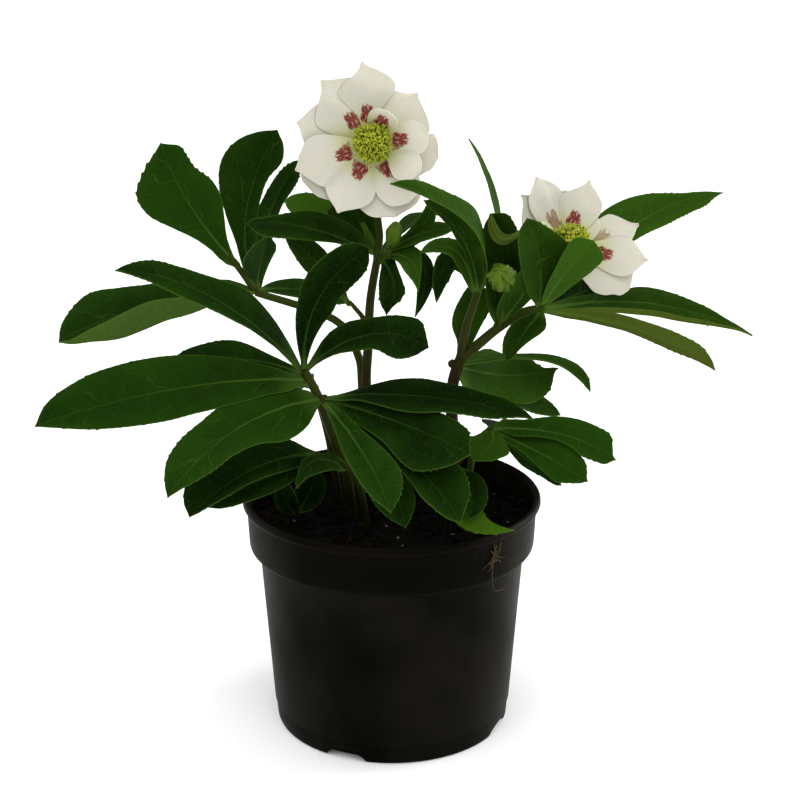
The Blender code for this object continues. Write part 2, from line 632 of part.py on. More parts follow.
def make_soil(collection):
    """The soil: a tapered plug with a rough top and a plain hole for each stalk that stands in it."""
    floor = WALL + GAP
    top_radius = COLLAR_RADIUS - WALL - GAP - 0.8
    neck_radius = wall_radius(COLLAR_FOOT) - WALL - GAP - 0.2
    foot_radius = BASE_RADIUS - WALL - 1 - GAP - 0.2
    profile = [(top_radius * ring / SOIL_RINGS, SOIL_TOP) for ring in range(SOIL_RINGS + 1)]
    profile += [
        (top_radius, COLLAR_FOOT + 4.2), (neck_radius, COLLAR_FOOT), (foot_radius, floor), (0, floor),
    ]
    soil = turned("soil", profile, SOIL_SIDES, collection)
    shape = bmesh.new()
    shape.from_mesh(soil.data)
    for vertex in shape.verts:
        if vertex.co.z > (SOIL_TOP - 1) * MM:
            vertex.co.z += soil_relief(vertex.co.x / MM, vertex.co.y / MM) * MM
    bmesh.ops.triangulate(shape, faces=shape.faces)
    shape.to_mesh(soil.data)
    shape.free()
    cutters = bpy.data.collections["cutters"]
    holes = []
    for name, parts in LEAVES.items():
        radius, _, points = parts["stalks"][0]
        x, y, _ = points[0]
        low, high = ROOT_END - GAP, SOIL_TOP + HOLE_ABOVE
        hole_radius = (radius + GAP) / math.cos(math.pi / HOLE_SIDES)
        hole = bmesh.new()
        bmesh.ops.create_cone(
            hole, cap_ends=True, segments=HOLE_SIDES, radius1=hole_radius * MM, radius2=hole_radius * MM,
            depth=(high - low) * MM, matrix=Matrix.Translation(Vector((x, y, (low + high) / 2)) * MM),
        )
        holes.append(make_object(name + "_hole", hole, cutters))
        holes[-1].hide_render = True
        holes[-1].display_type = "WIRE"
    combine(soil, holes, "DIFFERENCE")
    finish_node(soil, "peat")


def build():
    for obj in list(bpy.data.objects):
        bpy.data.objects.remove(obj)
    plant = make_collection("potted_hellebore")
    make_pot(plant)
    make_soil(plant)
    for name, parts in LEAVES.items():
        make_leaf(name, parts, plant)
    for name, flower in FLOWERS.items():
        make_bloom("bloom_" + name, flower, plant)
        make_heart("heart_" + name, flower, plant)
    for name, bud in BUDS.items():
        make_bud("bud_" + name, bud, plant)


build()
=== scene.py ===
import math
import random

import bmesh
import bpy
from mathutils import Matrix, Vector, noise


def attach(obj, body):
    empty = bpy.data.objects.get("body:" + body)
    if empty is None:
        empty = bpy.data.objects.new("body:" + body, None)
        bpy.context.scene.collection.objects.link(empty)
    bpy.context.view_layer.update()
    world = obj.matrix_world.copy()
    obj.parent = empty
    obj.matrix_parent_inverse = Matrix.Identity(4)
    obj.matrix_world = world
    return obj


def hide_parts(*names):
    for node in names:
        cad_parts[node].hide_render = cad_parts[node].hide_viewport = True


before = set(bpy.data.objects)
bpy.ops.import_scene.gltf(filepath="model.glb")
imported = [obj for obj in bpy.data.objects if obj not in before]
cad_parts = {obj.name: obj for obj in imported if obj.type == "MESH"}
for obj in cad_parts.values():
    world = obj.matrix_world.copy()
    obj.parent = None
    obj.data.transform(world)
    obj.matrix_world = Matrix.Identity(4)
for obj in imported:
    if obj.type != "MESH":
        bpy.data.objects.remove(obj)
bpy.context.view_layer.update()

# Lengths in the tables are in millimetres, as in the source of the solids, and become metres in a mesh.
MM = 0.001


# Pot
# A grower's pot, moulded in one piece from black plastic: a thin tapered wall, a stacking collar under a
# rolled lip, a fine step above the base, and four drainage arches. The underside is recessed in a foot ring.
LIP_RADIUS = 65
COLLAR_RADIUS = 63
COLLAR_FOOT = 81
BODY_TOP_RADIUS = 58
BASE_RADIUS = 52
STEP_HEIGHT = 9
STEP_DEPTH = 0.4
WALL = 1.6
FOOT_RING = 46.5
RECESS = 0.8
DRAIN_COUNT = 4
DRAIN_FIRST_ANGLE = 247
DRAIN_WIDTH = 19
DRAIN_HEIGHT = 4.5
POT_STEPS = 144
EDGE_ROUNDING = 0.15
CUTTER_DEPTH = 14


def wall_radius(height):
    """Outside radius of the tapered body at a height."""
    return BASE_RADIUS + (BODY_TOP_RADIUS - BASE_RADIUS) * height / COLLAR_FOOT


def start_body():
    """An empty mesh whose vertices carry their place on the piece, in mm, and what changes its look."""
    body = bmesh.new()
    body.verts.layers.float_vector.new("place")
    body.verts.layers.float_vector.new("look")
    return body


def turn_profile(profile, steps):
    """A closed solid spun round the Z axis from a profile of radius and height."""
    solid = start_body()
    corners = [solid.verts.new((radius * MM, 0, height * MM)) for radius, height in profile]
    lines = [solid.edges.new(pair) for pair in zip(corners, corners[1:])]
    bmesh.ops.spin(
        solid, geom=corners + lines, cent=(0, 0, 0), axis=(0, 0, 1), angle=math.tau, steps=steps,
        use_merge=True,
    )
    bmesh.ops.remove_doubles(solid, verts=solid.verts, dist=0.000005)
    bmesh.ops.recalc_face_normals(solid, faces=solid.faces)
    return solid


def make_piece(name, body, materials, sharp_angle):
    """An object from a finished mesh, shaded smooth up to an angle in degrees."""
    mesh = bpy.data.meshes.new(name)
    body.normal_update()
    body.to_mesh(mesh)
    body.free()
    for material in materials:
        mesh.materials.append(material)
    mesh.shade_smooth()
    mesh.set_sharp_from_angle(angle=math.radians(sharp_angle))
    piece = bpy.data.objects.new(name, mesh)
    bpy.context.scene.collection.objects.link(piece)
    return piece


def stand_for(piece, node):
    """The piece takes the place of a solid, which is hidden, and rides on the root body."""
    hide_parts(node)
    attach(piece, "root")


class Signal:
    """A value, place or colour in a shader. Sums and products of signals place the maths nodes for them."""

    def __init__(self, socket):
        self.socket, self.tree = socket, socket.id_data

    def maths(self, operation, other=0.0):
        return wire(self.tree, "ShaderNodeMath", {0: self, 1: other}, operation=operation)

    def __add__(self, other):
        return self.maths("ADD", other)

    def __sub__(self, other):
        return self.maths("SUBTRACT", other)

    def __mul__(self, other):
        return self.maths("MULTIPLY", other)

    def __truediv__(self, other):
        return self.maths("DIVIDE", other)

    def __pow__(self, other):
        return self.maths("POWER", other)

    def __abs__(self):
        return self.maths("ABSOLUTE")


def place_node(tree, kind, sockets, **settings):
    """Adds a shader node, and feeds its sockets from values or signals."""
    node = tree.nodes.new(kind)
    for key, value in settings.items():
        setattr(node, key, value)
    for key, value in sockets.items():
        if isinstance(value, Signal):
            tree.links.new(value.socket, node.inputs[key])
        else:
            node.inputs[key].default_value = value
    return node


def wire(tree, kind, sockets, output=0, **settings):
    """Adds a shader node and gives the signal of one of its outputs."""
    return Signal(place_node(tree, kind, sockets, **settings).outputs[output])


def soft_step(signal, start, end):
    """0 before start and 1 after end, with a soft change between them; start may be the larger."""
    sockets = {"Value": signal, "From Min": start, "From Max": end}
    return wire(signal.tree, "ShaderNodeMapRange", sockets, interpolation_type="SMOOTHSTEP")


def tint(share, first, second):
    """A colour between two, as linear red, green and blue."""
    sockets = {0: share}
    for key, colour in ((6, first), (7, second)):
        sockets[key] = colour if isinstance(colour, Signal) else (*colour, 1)
    return wire(share.tree, "ShaderNodeMix", sockets, 2, data_type="RGBA")


def speckle(where, scale, detail=3):
    """Plain noise between 0 and 1 at a place."""
    return wire(where.tree, "ShaderNodeTexNoise", {"Vector": where, "Scale": scale, "Detail": detail})


def stretched(where, scale):
    """A place stretched along its axes, so that a pattern on it runs out into streaks."""
    return wire(where.tree, "ShaderNodeMapping", {"Vector": where, "Scale": scale})


def parts_of(vector):
    """The three parts of a place or a look."""
    split = place_node(vector.tree, "ShaderNodeSeparateXYZ", {0: vector})
    return [Signal(part) for part in split.outputs]


def start_material(name, **values):
    """A Principled material with plain values on its own sockets, its shader, and places on the object."""
    material = bpy.data.materials.new(name)
    material.use_nodes = True
    shader = material.node_tree.nodes["Principled BSDF"]
    for key, value in values.items():
        shader.inputs[key.replace("_", " ")].default_value = value
    return material, shader, wire(material.node_tree, "ShaderNodeTexCoord", {}, "Object")


def connect_surface(shader, colour, roughness, relief, strength, distance):
    """Feeds colour and roughness to a shader, and a relief through a bump."""
    sockets = {"Height": relief, "Strength": strength, "Distance": distance}
    bump = wire(colour.tree, "ShaderNodeBump", sockets)
    for key, signal in (("Base Color", colour), ("Roughness", roughness), ("Normal", bump)):
        colour.tree.links.new(signal.socket, shader.inputs[key])


def make_black_plastic():
    """Satin black plastic: faint upright scuffs, dust on the collar, peat stains under the lip, painted
    sheen on the flanks.
    """
    material, shader, where = start_material(
        "black_plastic", IOR=1.46, Specular_IOR_Level=0.017, Specular_Tint=(1, 0.92, 0.74, 1),
    )
    sideways, _, height = parts_of(where)
    broad = speckle(where, 22)
    streaks = speckle(stretched(where, (1, 1, 0.06)), 420, 4)
    dust = soft_step(height, 0.086, 0.080) * soft_step(broad, 0.35, 0.7)
    # Painted sheen: the left and right flanks, away from the middle as seen from the front, are painted a
    # lighter warm grey.
    painted_flank_sheen = soft_step(abs(sideways), 0.034, 0.060) * soft_step(speckle(where, 60, 4), 0.15, 0.85)
    scuffs = soft_step(streaks, 0.60, 0.72) * soft_step(broad, 0.45, 0.65)
    peat = soft_step(height, 0.094, 0.105) * soft_step(broad, 0.4, 0.6)
    colour = tint(broad, (0.0007, 0.0008, 0.0005), (0.0018, 0.0018, 0.0012))
    colour = tint(dust * 0.25, colour, (0.018, 0.016, 0.011))
    colour = tint(painted_flank_sheen * 0.5, colour, (0.026, 0.023, 0.014))
    colour = tint(scuffs * 0.1, colour, (0.022, 0.020, 0.014))
    colour = tint(peat * 0.2, colour, (0.012, 0.008, 0.005))
    roughness = broad * 0.08 + scuffs * 0.2 + 0.41
    relief = speckle(where, 900, 2) * 0.35 + streaks * 0.4
    connect_surface(shader, colour, roughness, relief, 0.12, 0.0003)
    return material


pot_profile = [
    (0, WALL), (20, WALL), (BASE_RADIUS - WALL - 1, WALL), (wall_radius(COLLAR_FOOT) - WALL, COLLAR_FOOT),
    (COLLAR_RADIUS - WALL, COLLAR_FOOT + 3), (COLLAR_RADIUS - WALL, 101), (62.1, 103.8), (63.3, 104.8),
    (64.3, 104.6), (64.9, 103.7), (LIP_RADIUS, 102.4), (64.4, 101.2), (63.2, 100.6), (62.8, 92),
    (62.4, 84.3), (62.1, 83.1), (61.2, 82.1), (59.8, 81.2), (58.5, 80.5), (wall_radius(79.5), 79.5),
    (wall_radius(45), 45), (wall_radius(STEP_HEIGHT + 0.7), STEP_HEIGHT + 0.7),
    (wall_radius(STEP_HEIGHT) - STEP_DEPTH, STEP_HEIGHT),
    (wall_radius(STEP_HEIGHT - 1) - STEP_DEPTH, STEP_HEIGHT - 1), (BASE_RADIUS - STEP_DEPTH, 1.6),
    (BASE_RADIUS - 0.9, 0.5), (BASE_RADIUS - 1.6, 0), (FOOT_RING, 0), (FOOT_RING - 0.5, RECESS),
    (3.2, RECESS), (2.8, 0.3), (0, 0.3),
]
pot_body = turn_profile(pot_profile, POT_STEPS)
crisp_edges = [
    edge for edge in pot_body.edges
    if len(edge.link_faces) == 2 and edge.calc_face_angle() > 0.5 and edge.verts[0].co.z < 0.012
]
bmesh.ops.bevel(
    pot_body, geom=crisp_edges, offset=EDGE_ROUNDING * MM, affect="EDGES", segments=2, profile=0.5,
    material=-1,
)
pot = make_piece("pot_shell", pot_body, [make_black_plastic()], 40)

arch_cutters = bmesh.new()
for index in range(DRAIN_COUNT):
    outwards = Matrix.Rotation(math.radians(DRAIN_FIRST_ANGLE + index * 360 / DRAIN_COUNT), 4, "Z")
    outwards = outwards @ Matrix.Translation((BASE_RADIUS * MM, 0, 0)) @ Matrix.Rotation(math.pi / 2, 4, "Y")
    bmesh.ops.create_cone(
        arch_cutters, cap_ends=True, segments=40, radius1=1, radius2=1, depth=CUTTER_DEPTH * MM,
        matrix=outwards @ Matrix.Diagonal((DRAIN_HEIGHT * MM, DRAIN_WIDTH / 2 * MM, 1, 1)),
    )
arches = make_piece("drain_arches", arch_cutters, [], 40)
cut = pot.modifiers.new("drainage", "BOOLEAN")
cut.operation = "DIFFERENCE"
cut.object = arches
cut.solver = "EXACT"
bpy.context.view_layer.update()
pot_mesh = bpy.data.meshes.new_from_object(pot.evaluated_get(bpy.context.evaluated_depsgraph_get()))
pot.modifiers.clear()
pot.data = pot_mesh
bpy.data.objects.remove(arches)
stand_for(pot, "pot")


# Soil
# Peat compost that fills the pot to 10 mm under its lip: a rough bed with loose crumbs, chips of bark,
# a few white lumps of perlite, and thin dry roots. Some roots hang over the collar.
SOIL_TOP = 95
SOIL_RELIEF = 1.6
SOIL_RINGS = 46
SOIL_STEPS = 128
CRUMB_COUNT = 420
PERLITE_COUNT = 26
THREAD_COUNT = 8
THREAD_STEPS = 9
ROOT_END = 72
SOIL_CRUMB, SOIL_BARK, SOIL_PERLITE, SOIL_ROOT = 0.0, 0.35, 0.7, 1.0
chance = random.Random(11)


def soil_relief(x, y):
    """Height of the rough soil top above its mean, for a place in mm."""
    broad = math.sin(x * 0.11 + 1.3) * math.cos(y * 0.09 - 0.4)
    fine = math.sin(x * 0.37 + y * 0.21) * math.sin(y * 0.43 - x * 0.12 + 2.0)
    rough = noise.noise(Vector((x, y, 3)) * 0.35) * 1.1 + noise.noise(Vector((x, y, 8)) * 0.9) * 0.6
    return SOIL_RELIEF * (0.6 * broad + 0.4 * fine) + rough


def own_layers(body):
    """The place and the look that the vertices of a body carry."""
    layers = body.verts.layers.float_vector
    return layers["place"], layers["look"]


def hermite(t, start, end, pull_in, pull_out):
    """A place on a smooth line at a share t, from its two ends and the pulls on them."""
    return (
        start * (2 * t**3 - 3 * t**2 + 1) + pull_in * (t**3 - 2 * t**2 + t)
        + end * (3 * t**2 - 2 * t**3) + pull_out * (t**3 - t**2)
    )


def smooth_route(points, steps):
    """Points on a smooth curve through the given points; the first stretch stays straight."""
    points = [Vector(point) for point in points]
    route = [points[0]]
    for index in range(1, len(points) - 1):
        before = points[index - 1] if index > 1 else points[index]
        start, end = points[index], points[index + 1]
        after = points[index + 2] if index + 2 < len(points) else end
        for step in range(steps):
            route.append(hermite(step / steps, start, end, (end - before) / 2, (after - start) / 2))
    route.append(points[-1])
    return route


def faces_of(vertices):
    """Every face that touches the vertices."""
    return list({face for vertex in vertices for face in vertex.link_faces})


def add_tube(body, route, low_radius, high_radius, sides, low_look, high_look, finish):
    """A closed tapering tube, wrapped from a grid along a route in mm."""
    place, look = own_layers(body)
    rows = len(route) - 1
    skin = bmesh.ops.create_grid(body, x_segments=sides, y_segments=rows, size=1)["verts"]
    across = Vector((1, 0.2, 0.1))
    rings = []
    for row, point in enumerate(route):
        heading = (route[min(row + 1, rows)] - route[max(row - 1, 0)]).normalized()
        across = (across - heading * across.dot(heading)).normalized()
        rings.append((point, across, heading.cross(across)))
    for vertex in skin:
        turn = math.pi * (vertex.co.x + 1)
        row = round((vertex.co.y + 1) / 2 * rows)
        share = row / rows
        point, across, up = rings[row]
        radius = low_radius + (high_radius - low_radius) * share
        vertex.co = (point + (across * math.cos(turn) + up * math.sin(turn)) * radius) * MM
        vertex[place] = (turn * radius, (point - route[0]).length, radius)
        vertex[look] = (low_look + (high_look - low_look) * share, 0, share)
    bmesh.ops.remove_doubles(body, verts=skin, dist=0.000001)
    skin = [vertex for vertex in skin if vertex.is_valid]
    open_edges = {edge for vertex in skin for edge in vertex.link_edges if edge.is_boundary}
    bmesh.ops.holes_fill(body, edges=list(open_edges), sides=sides)
    for face in faces_of(skin):
        face.material_index = finish


def add_lump(body, middle, size, roundness, kind, subdivisions):
    """A loose crumb, chip or lump: a ball squashed, turned and dented by chance."""
    look = own_layers(body)[1]
    turn = Matrix.Rotation(chance.uniform(0, math.tau), 4, "Z")
    turn = turn @ Matrix.Rotation(chance.uniform(0, math.tau), 4, "X")
    long, broad = size * chance.uniform(0.8, 1.4), size * chance.uniform(0.6, 1)
    shape = Matrix.Diagonal((long * MM, broad * MM, size * roundness * MM, 1))
    where = Matrix.Translation(Vector(middle) * MM) @ turn @ shape
    ball = bmesh.ops.create_icosphere(body, subdivisions=subdivisions, radius=1, matrix=where)["verts"]
    for vertex in ball:
        vertex.co += Vector([chance.uniform(-1, 1) for _ in range(3)]) * size * 0.18 * MM
        vertex[look] = (kind, 0, chance.random())


def read_layer(tree, name):
    """The place or look that the vertices carry, as a signal."""
    return wire(tree, "ShaderNodeAttribute", {}, "Vector", attribute_name=name)


def make_peat():
    """Near-black peat, brown bark and roots, and perlite by kind; peat, bark and perlite darkened as painted
    shade.
    """
    material, shader, where = start_material("peat", Specular_IOR_Level=0.03)
    kind = parts_of(read_layer(where.tree, "look"))[0]
    fine = speckle(where, 700, 5)
    broad = speckle(where, 90)
    fibres = speckle(stretched(where, (1, 0.12, 1)), 1500)
    # Painted shade: peat, bark and perlite are kept much darker than their own colour, for the shade under
    # the leaves.
    bark = tint(fine, (0.0022, 0.0013, 0.0007), (0.012, 0.0066, 0.003))
    perlite = tint(fine, (0.050, 0.042, 0.028), (0.14, 0.12, 0.09))
    root = tint(broad, (0.030, 0.020, 0.010), (0.075, 0.054, 0.030))
    colour = tint(soft_step(fine, 0.35, 0.7), (0.0004, 0.0004, 0.0002), (0.0034, 0.0024, 0.0012))
    colour = tint(soft_step(fibres, 0.6, 0.75) * 0.4, colour, (0.014, 0.009, 0.005))
    colour = tint(soft_step(kind, 0.10, 0.20), colour, bark)
    colour = tint(soft_step(kind, 0.50, 0.55), colour, perlite)
    colour = tint(soft_step(kind, 0.85, 0.90), colour, root)
    connect_surface(shader, colour, broad * 0.2 + 0.75, fine, 0.7, 0.0008)
    return material


peat = make_peat()
soil_radius = COLLAR_RADIUS - WALL - 0.8
soil_profile = [(soil_radius * ring / SOIL_RINGS, SOIL_TOP) for ring in range(SOIL_RINGS + 1)]
soil_profile += [
    (soil_radius, COLLAR_FOOT + 4.2), (wall_radius(COLLAR_FOOT) - WALL - 0.4, COLLAR_FOOT),
    (BASE_RADIUS - WALL - 1.5, WALL + 0.3), (0, WALL + 0.3),
]
soil_body = turn_profile(soil_profile, SOIL_STEPS)
for vertex in soil_body.verts:
    if vertex.co.z > (SOIL_TOP - 1) * MM:
        vertex.co.z += soil_relief(vertex.co.x / MM, vertex.co.y / MM) * MM
for index in range(CRUMB_COUNT + PERLITE_COUNT):
    turn, out = chance.uniform(0, math.tau), math.sqrt(chance.random()) * (soil_radius - 2)
    x, y = math.cos(turn) * out, math.sin(turn) * out
    top = SOIL_TOP + soil_relief(x, y)
    if index < PERLITE_COUNT:
        size, roundness, kind, subdivisions = chance.uniform(0.5, 1.1), 0.5, SOIL_PERLITE, 2
    elif index % 7 == 0:
        size, roundness, kind, subdivisions = chance.uniform(1.2, 2.8), 0.35, SOIL_BARK, 1
    else:
        size, roundness, kind, subdivisions = chance.uniform(0.7, 2.2), 0.7, SOIL_CRUMB, 2
    add_lump(soil_body, (x, y, top + size * 0.2), size, roundness, kind, subdivisions)
for index in range(THREAD_COUNT):
    turn, out, bend = chance.uniform(0, math.tau), chance.uniform(8, 50), chance.uniform(-2.4, 2.4)
    x, y, heading = math.cos(turn) * out, math.sin(turn) * out, chance.uniform(0, math.tau)
    thread = []
    for step in range(THREAD_STEPS):
        if math.hypot(x, y) > soil_radius - 3:
            break
        thread.append((x, y, SOIL_TOP + soil_relief(x, y) + 0.4 + 0.5 * math.sin(step)))
        heading += bend / THREAD_STEPS + chance.uniform(-0.35, 0.35)
        x, y = x + math.cos(heading) * 2.4, y + math.sin(heading) * 2.4
    if len(thread) > 3:
        add_tube(soil_body, smooth_route(thread, 2), 0.28, 0.14, 5, SOIL_BARK, SOIL_BARK, 0)
soil = make_piece("soil_bed", soil_body, [peat], 60)
stand_for(soil, "soil")

ROOT_THREADS = (
    [(42.6, -47.2, 99.8), (42.6, -47.2, 96.7), (41.3, -48.5, 93.2), (37.6, -51.4, 90.2)],
    [(43.4, -47.3, 99.5), (42.2, -47.8, 94), (41.8, -48.1, 88), (42, -47.9, 84), (42.6, -46, 79),
     (46, -42, 77), (49.8, -38.6, 79.2), (51.5, -37.5, 84.4)],
    [(45.4, -44.8, 99.6), (44.6, -45.6, 95.5), (43.2, -47, 91.5)],
    [(41, -49, 97.5), (43, -47, 95), (45.2, -45, 93), (47.6, -42.6, 92.4)],
    [(40.5, -49.3, 91.5), (42, -48.2, 92.8), (44.5, -45.9, 92.2), (45.8, -44.5, 90.2)],
    [(43.8, -46.3, 97), (43, -47.2, 93.5), (40.8, -49.2, 89.6), (39.6, -50, 88.6)],
)
root_body = start_body()
for thread in ROOT_THREADS:
    add_tube(root_body, smooth_route(thread, 6), 0.24, 0.1, 6, SOIL_ROOT, SOIL_ROOT, 0)
collar_roots = make_piece("collar_roots", root_body, [peat], 60)
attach(collar_roots, "root")


# Front leaf
# A hellebore leaf is a round stalk that ends in a knot, from which leathery leaflets spread like fingers.
# Each leaflet is a thin blade, folded a little along its midrib, with fine forward teeth on its outer part.
BLADE_THICKNESS = 0.5
STALK_STEPS = 6
STALK_SIDES = 14
TOOTH_PITCH = 3
TOOTH_DEPTH = 0.96
TOOTH_LEAN = 1.05
TEETH_FROM = 0.42
TOOTH_ROWS = 4
FOLD = 0.22
RIPPLE = 0.055
TIP_HALF = 0.12
NO_CURL = (0, 0)
CURL_FROM = 0.62
CURL_LIFT = 1.3
# An outline is its half-width in hundredths of the plain one, at the places between the two ends.
EDGE_PLACES = (0, 0.07, 0.18, 0.32, 0.46, 0.60, 0.74, 0.86, 0.95, 1)
LONG = ((17, 46, 76, 95, 100, 88, 62, 29),) * 2
BROAD = ((8, 28, 54, 78, 95, 100, 87, 56),) * 2
OVAL = ((34, 64, 87, 98, 99, 87, 65, 36),) * 2
EVEN = ((40, 72, 94, 100, 93, 74, 47, 20),) * 2
YOUNG = ((30, 59, 83, 97, 100, 91, 71, 41),) * 2
COLUMNS = (-1, -0.95, -0.82, -0.62, -0.38, -0.14, 0, 0.14, 0.38, 0.62, 0.82, 0.95, 1)


def standing(x, y):
    """The two lowest points of a stalk: straight down in the soil."""
    return [(x, y, ROOT_END), (x, y, SOIL_TOP + 4)]


def smooth_value(stations, at):
    """A value on a smooth line through stations of place and value."""
    last = len(stations) - 1
    index = max(0, min(last - 1, sum(at >= place for place, _ in stations) - 1))
    (start, low), (end, high) = stations[index], stations[index + 1]
    before, after = stations[max(0, index - 1)], stations[min(last, index + 2)]
    pull_in = (high - before[1]) / (end - before[0]) * (end - start)
    pull_out = (after[1] - low) / (after[0] - start) * (end - start)
    return hermite((at - start) / (end - start), low, high, pull_in, pull_out)


def edge_half(width, hundredths, along):
    """Half-width of one side of a blade at a place, from its table in hundredths of the plain half-width."""
    stations = list(zip(EDGE_PLACES, (0, *hundredths, 0)))
    return max(width / 200 * smooth_value(stations, along), 1 - along + TIP_HALF)


def bent_rib(base, bend, tip, facing, along):
    """The point on a bent midrib at a share of its length, and the ways ahead, up and right there."""
    point = base * (1 - along) ** 2 + bend * 2 * along * (1 - along) + tip * along**2
    heading = ((bend - base) * (1 - along) + (tip - bend) * along).normalized()
    up = (facing - heading * facing.dot(heading)).normalized()
    return point, heading, up, heading.cross(up)


def thicken(body, sheet, thickness):
    """Makes a plate of a sheet, and gives the vertices of its underside."""
    body.normal_update()
    added = bmesh.ops.solidify(body, geom=faces_of(sheet), thickness=thickness * MM)["geom"]
    return [part for part in added if isinstance(part, bmesh.types.BMVert)]


def add_leaflet(body, base, middle, tip, width, facing, shape, tone=None, curl=NO_CURL, toothed=True):
    """One leaflet: a grid bent along its midrib, cut to its toothed outline, thickened and ribbed below.

    Facing is the way its upper side looks, and shape its outline on the left and on the right. The tone goes
    from dark, 0, to fresh yellow-green, above 1. The curl is the side, -1 or 1, whose margin folds back over
    the blade, and how far as a share of the half-width.
    """
    place, look = own_layers(body)
    base, middle, tip, facing = Vector(base), Vector(middle), Vector(tip), Vector(facing)
    bend = middle * 2 - (base + tip) / 2
    length = (tip - base).length
    chance = random.Random(int(length * 1000 + width))
    tone = chance.random() if tone is None else tone
    wave, waves = chance.uniform(0, math.tau), chance.uniform(1.2, 2.4)
    plain_rows = max(6, round(length * TEETH_FROM / 4))
    tooth_rows = TOOTH_ROWS * max(4, round(length * (1 - TEETH_FROM) / TOOTH_PITCH))
    rows = plain_rows + tooth_rows
    bite = [chance.uniform(0.3, 1) for _ in range(rows)]
    places = [row / plain_rows * TEETH_FROM for row in range(plain_rows)]
    places += [TEETH_FROM + row / tooth_rows * (1 - TEETH_FROM) for row in range(tooth_rows + 1)]
    halves = [[edge_half(width, table, along) for along in places] for table in shape]
    sheet = bmesh.ops.create_grid(body, x_segments=len(COLUMNS) - 1, y_segments=rows, size=1)["verts"]
    for vertex in sheet:
        side = COLUMNS[round((vertex.co.x + 1) / 2 * (len(COLUMNS) - 1))]
        row = round((vertex.co.y + 1) / 2 * rows)
        out, along = abs(side), places[row]
        rib, heading, up, right = bent_rib(base, bend, tip, facing, along)
        half = (halves[0][row] + halves[1][row]) / 2 if side == 0 else halves[side > 0][row]
        tooth = 0
        if toothed and row >= plain_rows:
            phase = (row - plain_rows + (2 if side > 0 else 0)) % TOOTH_ROWS / TOOTH_ROWS
            growth = min(1, (along - TEETH_FROM) * 5) * min(1, (1 - along) * 9, halves[side > 0][row] / 3)
            tooth = phase * bite[row // TOOTH_ROWS] * growth
        edge = out**10
        across = side * (half + (tooth - 0.4 * min(1, tooth * 4)) * TOOTH_DEPTH * edge)
        folded = 0
        if side * curl[0] > 0:
            over = max(0, out - CURL_FROM) / (1 - CURL_FROM)
            folded = math.sin(math.pi * along) ** 0.7
            across = curl[0] * half * (min(1, out / CURL_FROM) - over * folded * curl[1])
            folded *= CURL_LIFT * math.sin(over * math.pi / 2) + over * curl[1] * half * 0.25
        ripple = math.sin(math.tau * along * waves + wave + (1.7 if side > 0 else 0)) * out**2
        lift = half * (FOLD * (out - 0.5 * out**2.5) + RIPPLE * ripple) + folded
        lift += noise.noise(Vector((across, along * length, tone * 40)) * 0.09) * 0.5
        ahead = heading * tooth * TOOTH_LEAN * edge
        vertex.co = (rib + right * across + up * lift + ahead) * MM
        vertex[place] = (side * half, along * length, half)
        vertex[look] = (tone, 0, length)
    below = thicken(body, sheet, BLADE_THICKNESS)
    body.normal_update()
    for vertex in below:
        across, run, half = vertex[place]
        left = max(0, 1 - run / length)
        ridge = (0.9 * left**1.3 + 0.1) * max(0, 1 - abs(across) / (0.6 + 0.9 * left))
        vertex.co += vertex.normal * ridge * MM
        vertex[look] = (tone, 1, length)


def add_knot(body, middle, radius, redness):
    """The small swelling where leaflets meet on a stalk."""
    look = own_layers(body)[1]
    where = Matrix.Translation(Vector(middle) * MM)
    ball = bmesh.ops.create_icosphere(body, subdivisions=3, radius=radius * MM, matrix=where)["verts"]
    for vertex in ball:
        vertex.co += vertex.co.normalized() * noise.noise(vertex.co * 900) * 0.25 * MM
        vertex[look] = (redness, 0, 0.5)
    for face in faces_of(ball):
        face.material_index = 1


